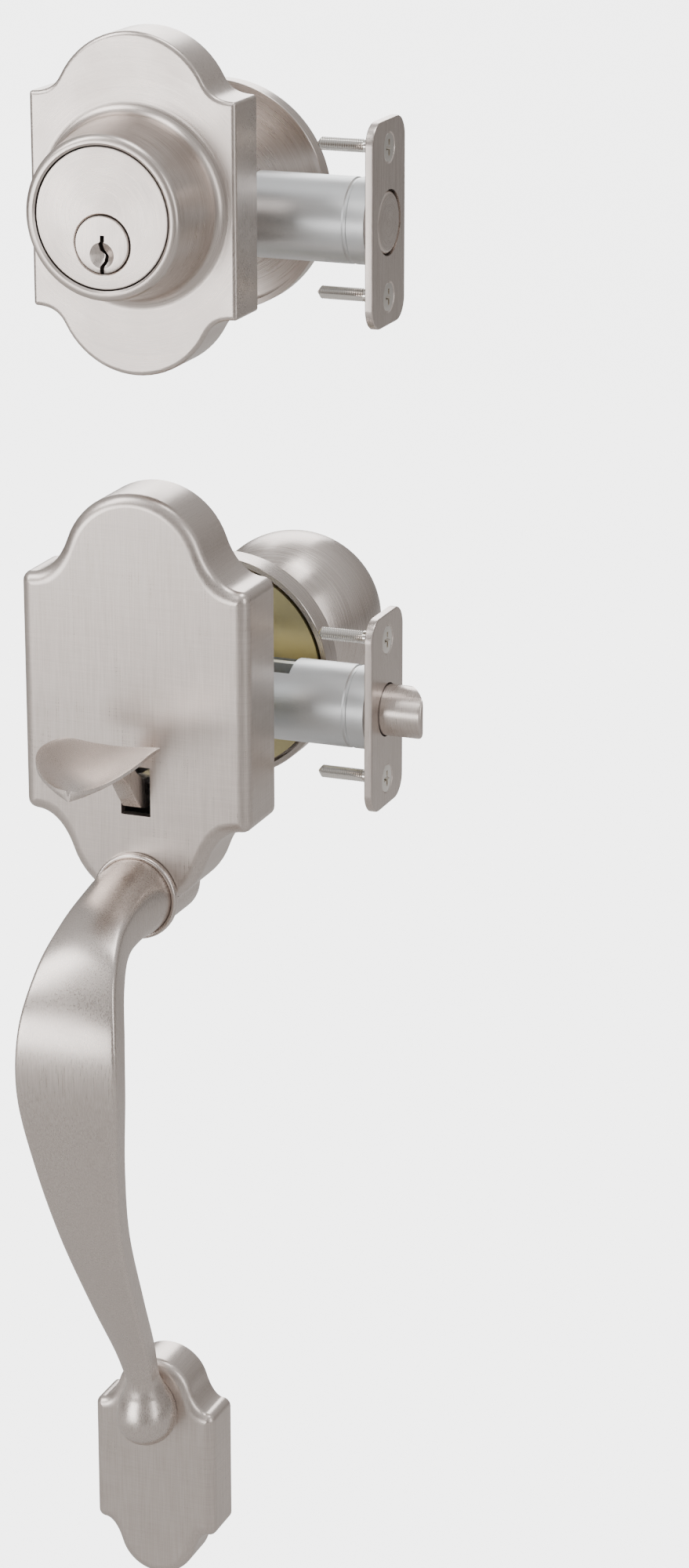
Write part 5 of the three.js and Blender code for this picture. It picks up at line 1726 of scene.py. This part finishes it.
# ---------------------------------------------------------------- studio
@dataclass
class Studio:
    """The pale floor, the soft lights, the surroundings and the camera."""

    floor_drop: float = 90.0
    floor_glow: float = 6.5
    glow_share: float = 0.8
    floor_tone: tuple[float, ...] = (0.86, 0.86, 0.86, 1)
    floor_patch: tuple[float, ...] = (0.875, 0.873, 0.87, 1)
    shown_strength: float = 5.0
    felt_strength: float = 0.85
    camera_place: Point3 = (451.7, -1033.1, 346.3)
    camera_yaw: float = 24.82
    camera_pitch: float = 21.46
    aim_right: float = 0.0640
    aim_up: float = 0.0574
    lens: float = 94.9

    def build(self) -> None:
        """Set the whole studio up."""
        self.floor()
        self.world()
        self.softbox("key_softbox", (-1.25, -1.2, 1.35), (0.7, 1.3), 22)
        self.softbox("front_card", (-0.8, -1.35, -0.02), (1.0, 0.5), 9)
        self.softbox("side_softbox", (1.5, -0.9, 0.5), (0.35, 1.5), 8)
        self.softbox("back_softbox", (-0.6, 1.5, 0.8), (0.9, 1.2), 16)
        self.softbox("top_softbox", (0.2, -0.1, 1.6), (0.7, 0.7), 9)
        self.camera()

    def floor(self) -> None:
        """Add the floor."""
        Bench.clear()
        height = CAD_BOX[0].z - self.floor_drop * MM
        bpy.ops.mesh.primitive_plane_add(size=24, location=(0, 0, height))
        floor = bpy.context.object
        floor.name = "floor"
        material = bpy.data.materials.new("pale_floor")
        material.use_nodes = True
        graph = Graph(material.node_tree)
        spot = graph.add("ShaderNodeTexCoord").outputs["Object"]
        tone = graph.spread(graph.noise(spot, 3.0), 0.3, 0.7, 0, 1)
        colour = graph.blend(tone, self.floor_tone, self.floor_patch)
        matt = graph.blend(tone, (0.42, 0.41, 0.40, 1), (0.45, 0.44, 0.43, 1))
        shader = graph.add("ShaderNodeBsdfPrincipled", {"Base Color": matt, "Roughness": 0.85})
        glow = graph.add("ShaderNodeEmission", {"Color": colour, "Strength": self.floor_glow})
        ray = graph.add("ShaderNodeLightPath").outputs["Is Camera Ray"]
        share = graph.sum("MULTIPLY", ray, self.glow_share)
        mix = graph.add("ShaderNodeMixShader", {0: share, 1: shader.outputs[0], 2: glow.outputs[0]})
        graph.add("ShaderNodeOutputMaterial", {"Surface": mix.outputs[0]})
        floor.data.materials.append(material)

    def world(self) -> None:
        """Set surroundings that are white to look at and graded, warm and soft in reflections."""
        world = bpy.data.worlds.new("studio")
        world.use_nodes = True
        bpy.context.scene.world = world
        graph = Graph(world.node_tree)
        heading = graph.add("ShaderNodeTexCoord").outputs["Generated"]
        height = graph.add("ShaderNodeSeparateXYZ", {0: heading}).outputs[2]
        ramp = graph.add("ShaderNodeValToRGB", {0: graph.spread(height, -1, 1, 0, 1)})
        stops = ramp.color_ramp.elements
        stops[0].position, stops[0].color = 0.0, (0.30, 0.27, 0.25, 1)
        stops[1].position, stops[1].color = 1.0, (0.95, 0.95, 0.95, 1)
        middle = stops.new(0.5)
        middle.color = (0.40, 0.375, 0.355, 1)
        inputs = {"Color": (1, 1, 1, 1), "Strength": self.shown_strength}
        shown = graph.add("ShaderNodeBackground", inputs)
        inputs = {"Color": ramp.outputs[0], "Strength": self.felt_strength}
        felt = graph.add("ShaderNodeBackground", inputs)
        ray = graph.add("ShaderNodeLightPath").outputs["Is Camera Ray"]
        mix = graph.add("ShaderNodeMixShader", {0: ray, 1: felt.outputs[0], 2: shown.outputs[0]})
        graph.add("ShaderNodeOutputWorld", {"Surface": mix.outputs[0]})

    def softbox(self, name: str, place: Point3, size: Point2, power: float) -> None:
        """Add an area light that faces the object.

        Args:
            name: The light's name.
            place: Its place in metres.
            size: Its width and height in metres.
            power: Its power in watts.
        """
        light = bpy.data.lights.new(name, "AREA")
        light.shape = "RECTANGLE"
        light.size, light.size_y = size
        light.energy = power
        thing = bpy.data.objects.new(name, light)
        thing.location = place
        middle = (CAD_BOX[0] + CAD_BOX[1]) / 2
        thing.rotation_euler = (middle - Vector(place)).to_track_quat("-Z", "Y").to_euler()
        bpy.context.scene.collection.objects.link(thing)

    def camera(self) -> None:
        """Add the camera, aimed so that the frame's middle needs no shift."""
        yaw, pitch = math.radians(self.camera_yaw), math.radians(self.camera_pitch)
        level = math.cos(pitch)
        ahead = Vector((-math.sin(yaw) * level, math.cos(yaw) * level, -math.sin(pitch)))
        right = Vector((math.cos(yaw), math.sin(yaw), 0))
        up = right.cross(ahead)
        aim = ahead + right * self.aim_right + up * self.aim_up
        data = bpy.data.cameras.new("camera")
        data.lens = self.lens
        camera = bpy.data.objects.new("camera", data)
        camera.location = Vector(self.camera_place) * MM
        camera.rotation_euler = aim.to_track_quat("-Z", "Y").to_euler()
        bpy.context.scene.collection.objects.link(camera)
        bpy.context.scene.camera = camera


def main() -> None:
    """Build the sub-assemblies in order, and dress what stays."""
    logging.basicConfig(level=logging.INFO, format="%(name)s: %(message)s")
    door = Door.from_frame()
    finishes = Finishes(door)
    fitter = Fitter(finishes)
    Studio().build()
    DeadboltOutside(fitter, door).build()
    DeadboltInside(fitter, door).build()
    EdgeUnit(
        fitter, door, "deadbolt", door.deadbolt_z, "deadbolt_bolt", "bolt_case", 8.75, False, finishes.bolt
    ).build()
    EdgeUnit(
        fitter, door, "latch", door.latch_z, "latch_bolt", "latch_case", 7.4, True, finishes.latch
    ).build()
    HandleOutside(fitter).build()
    KnobInside(fitter, door).build()
    fitter.dress_the_rest()


if __name__ == "__main__":
    main()
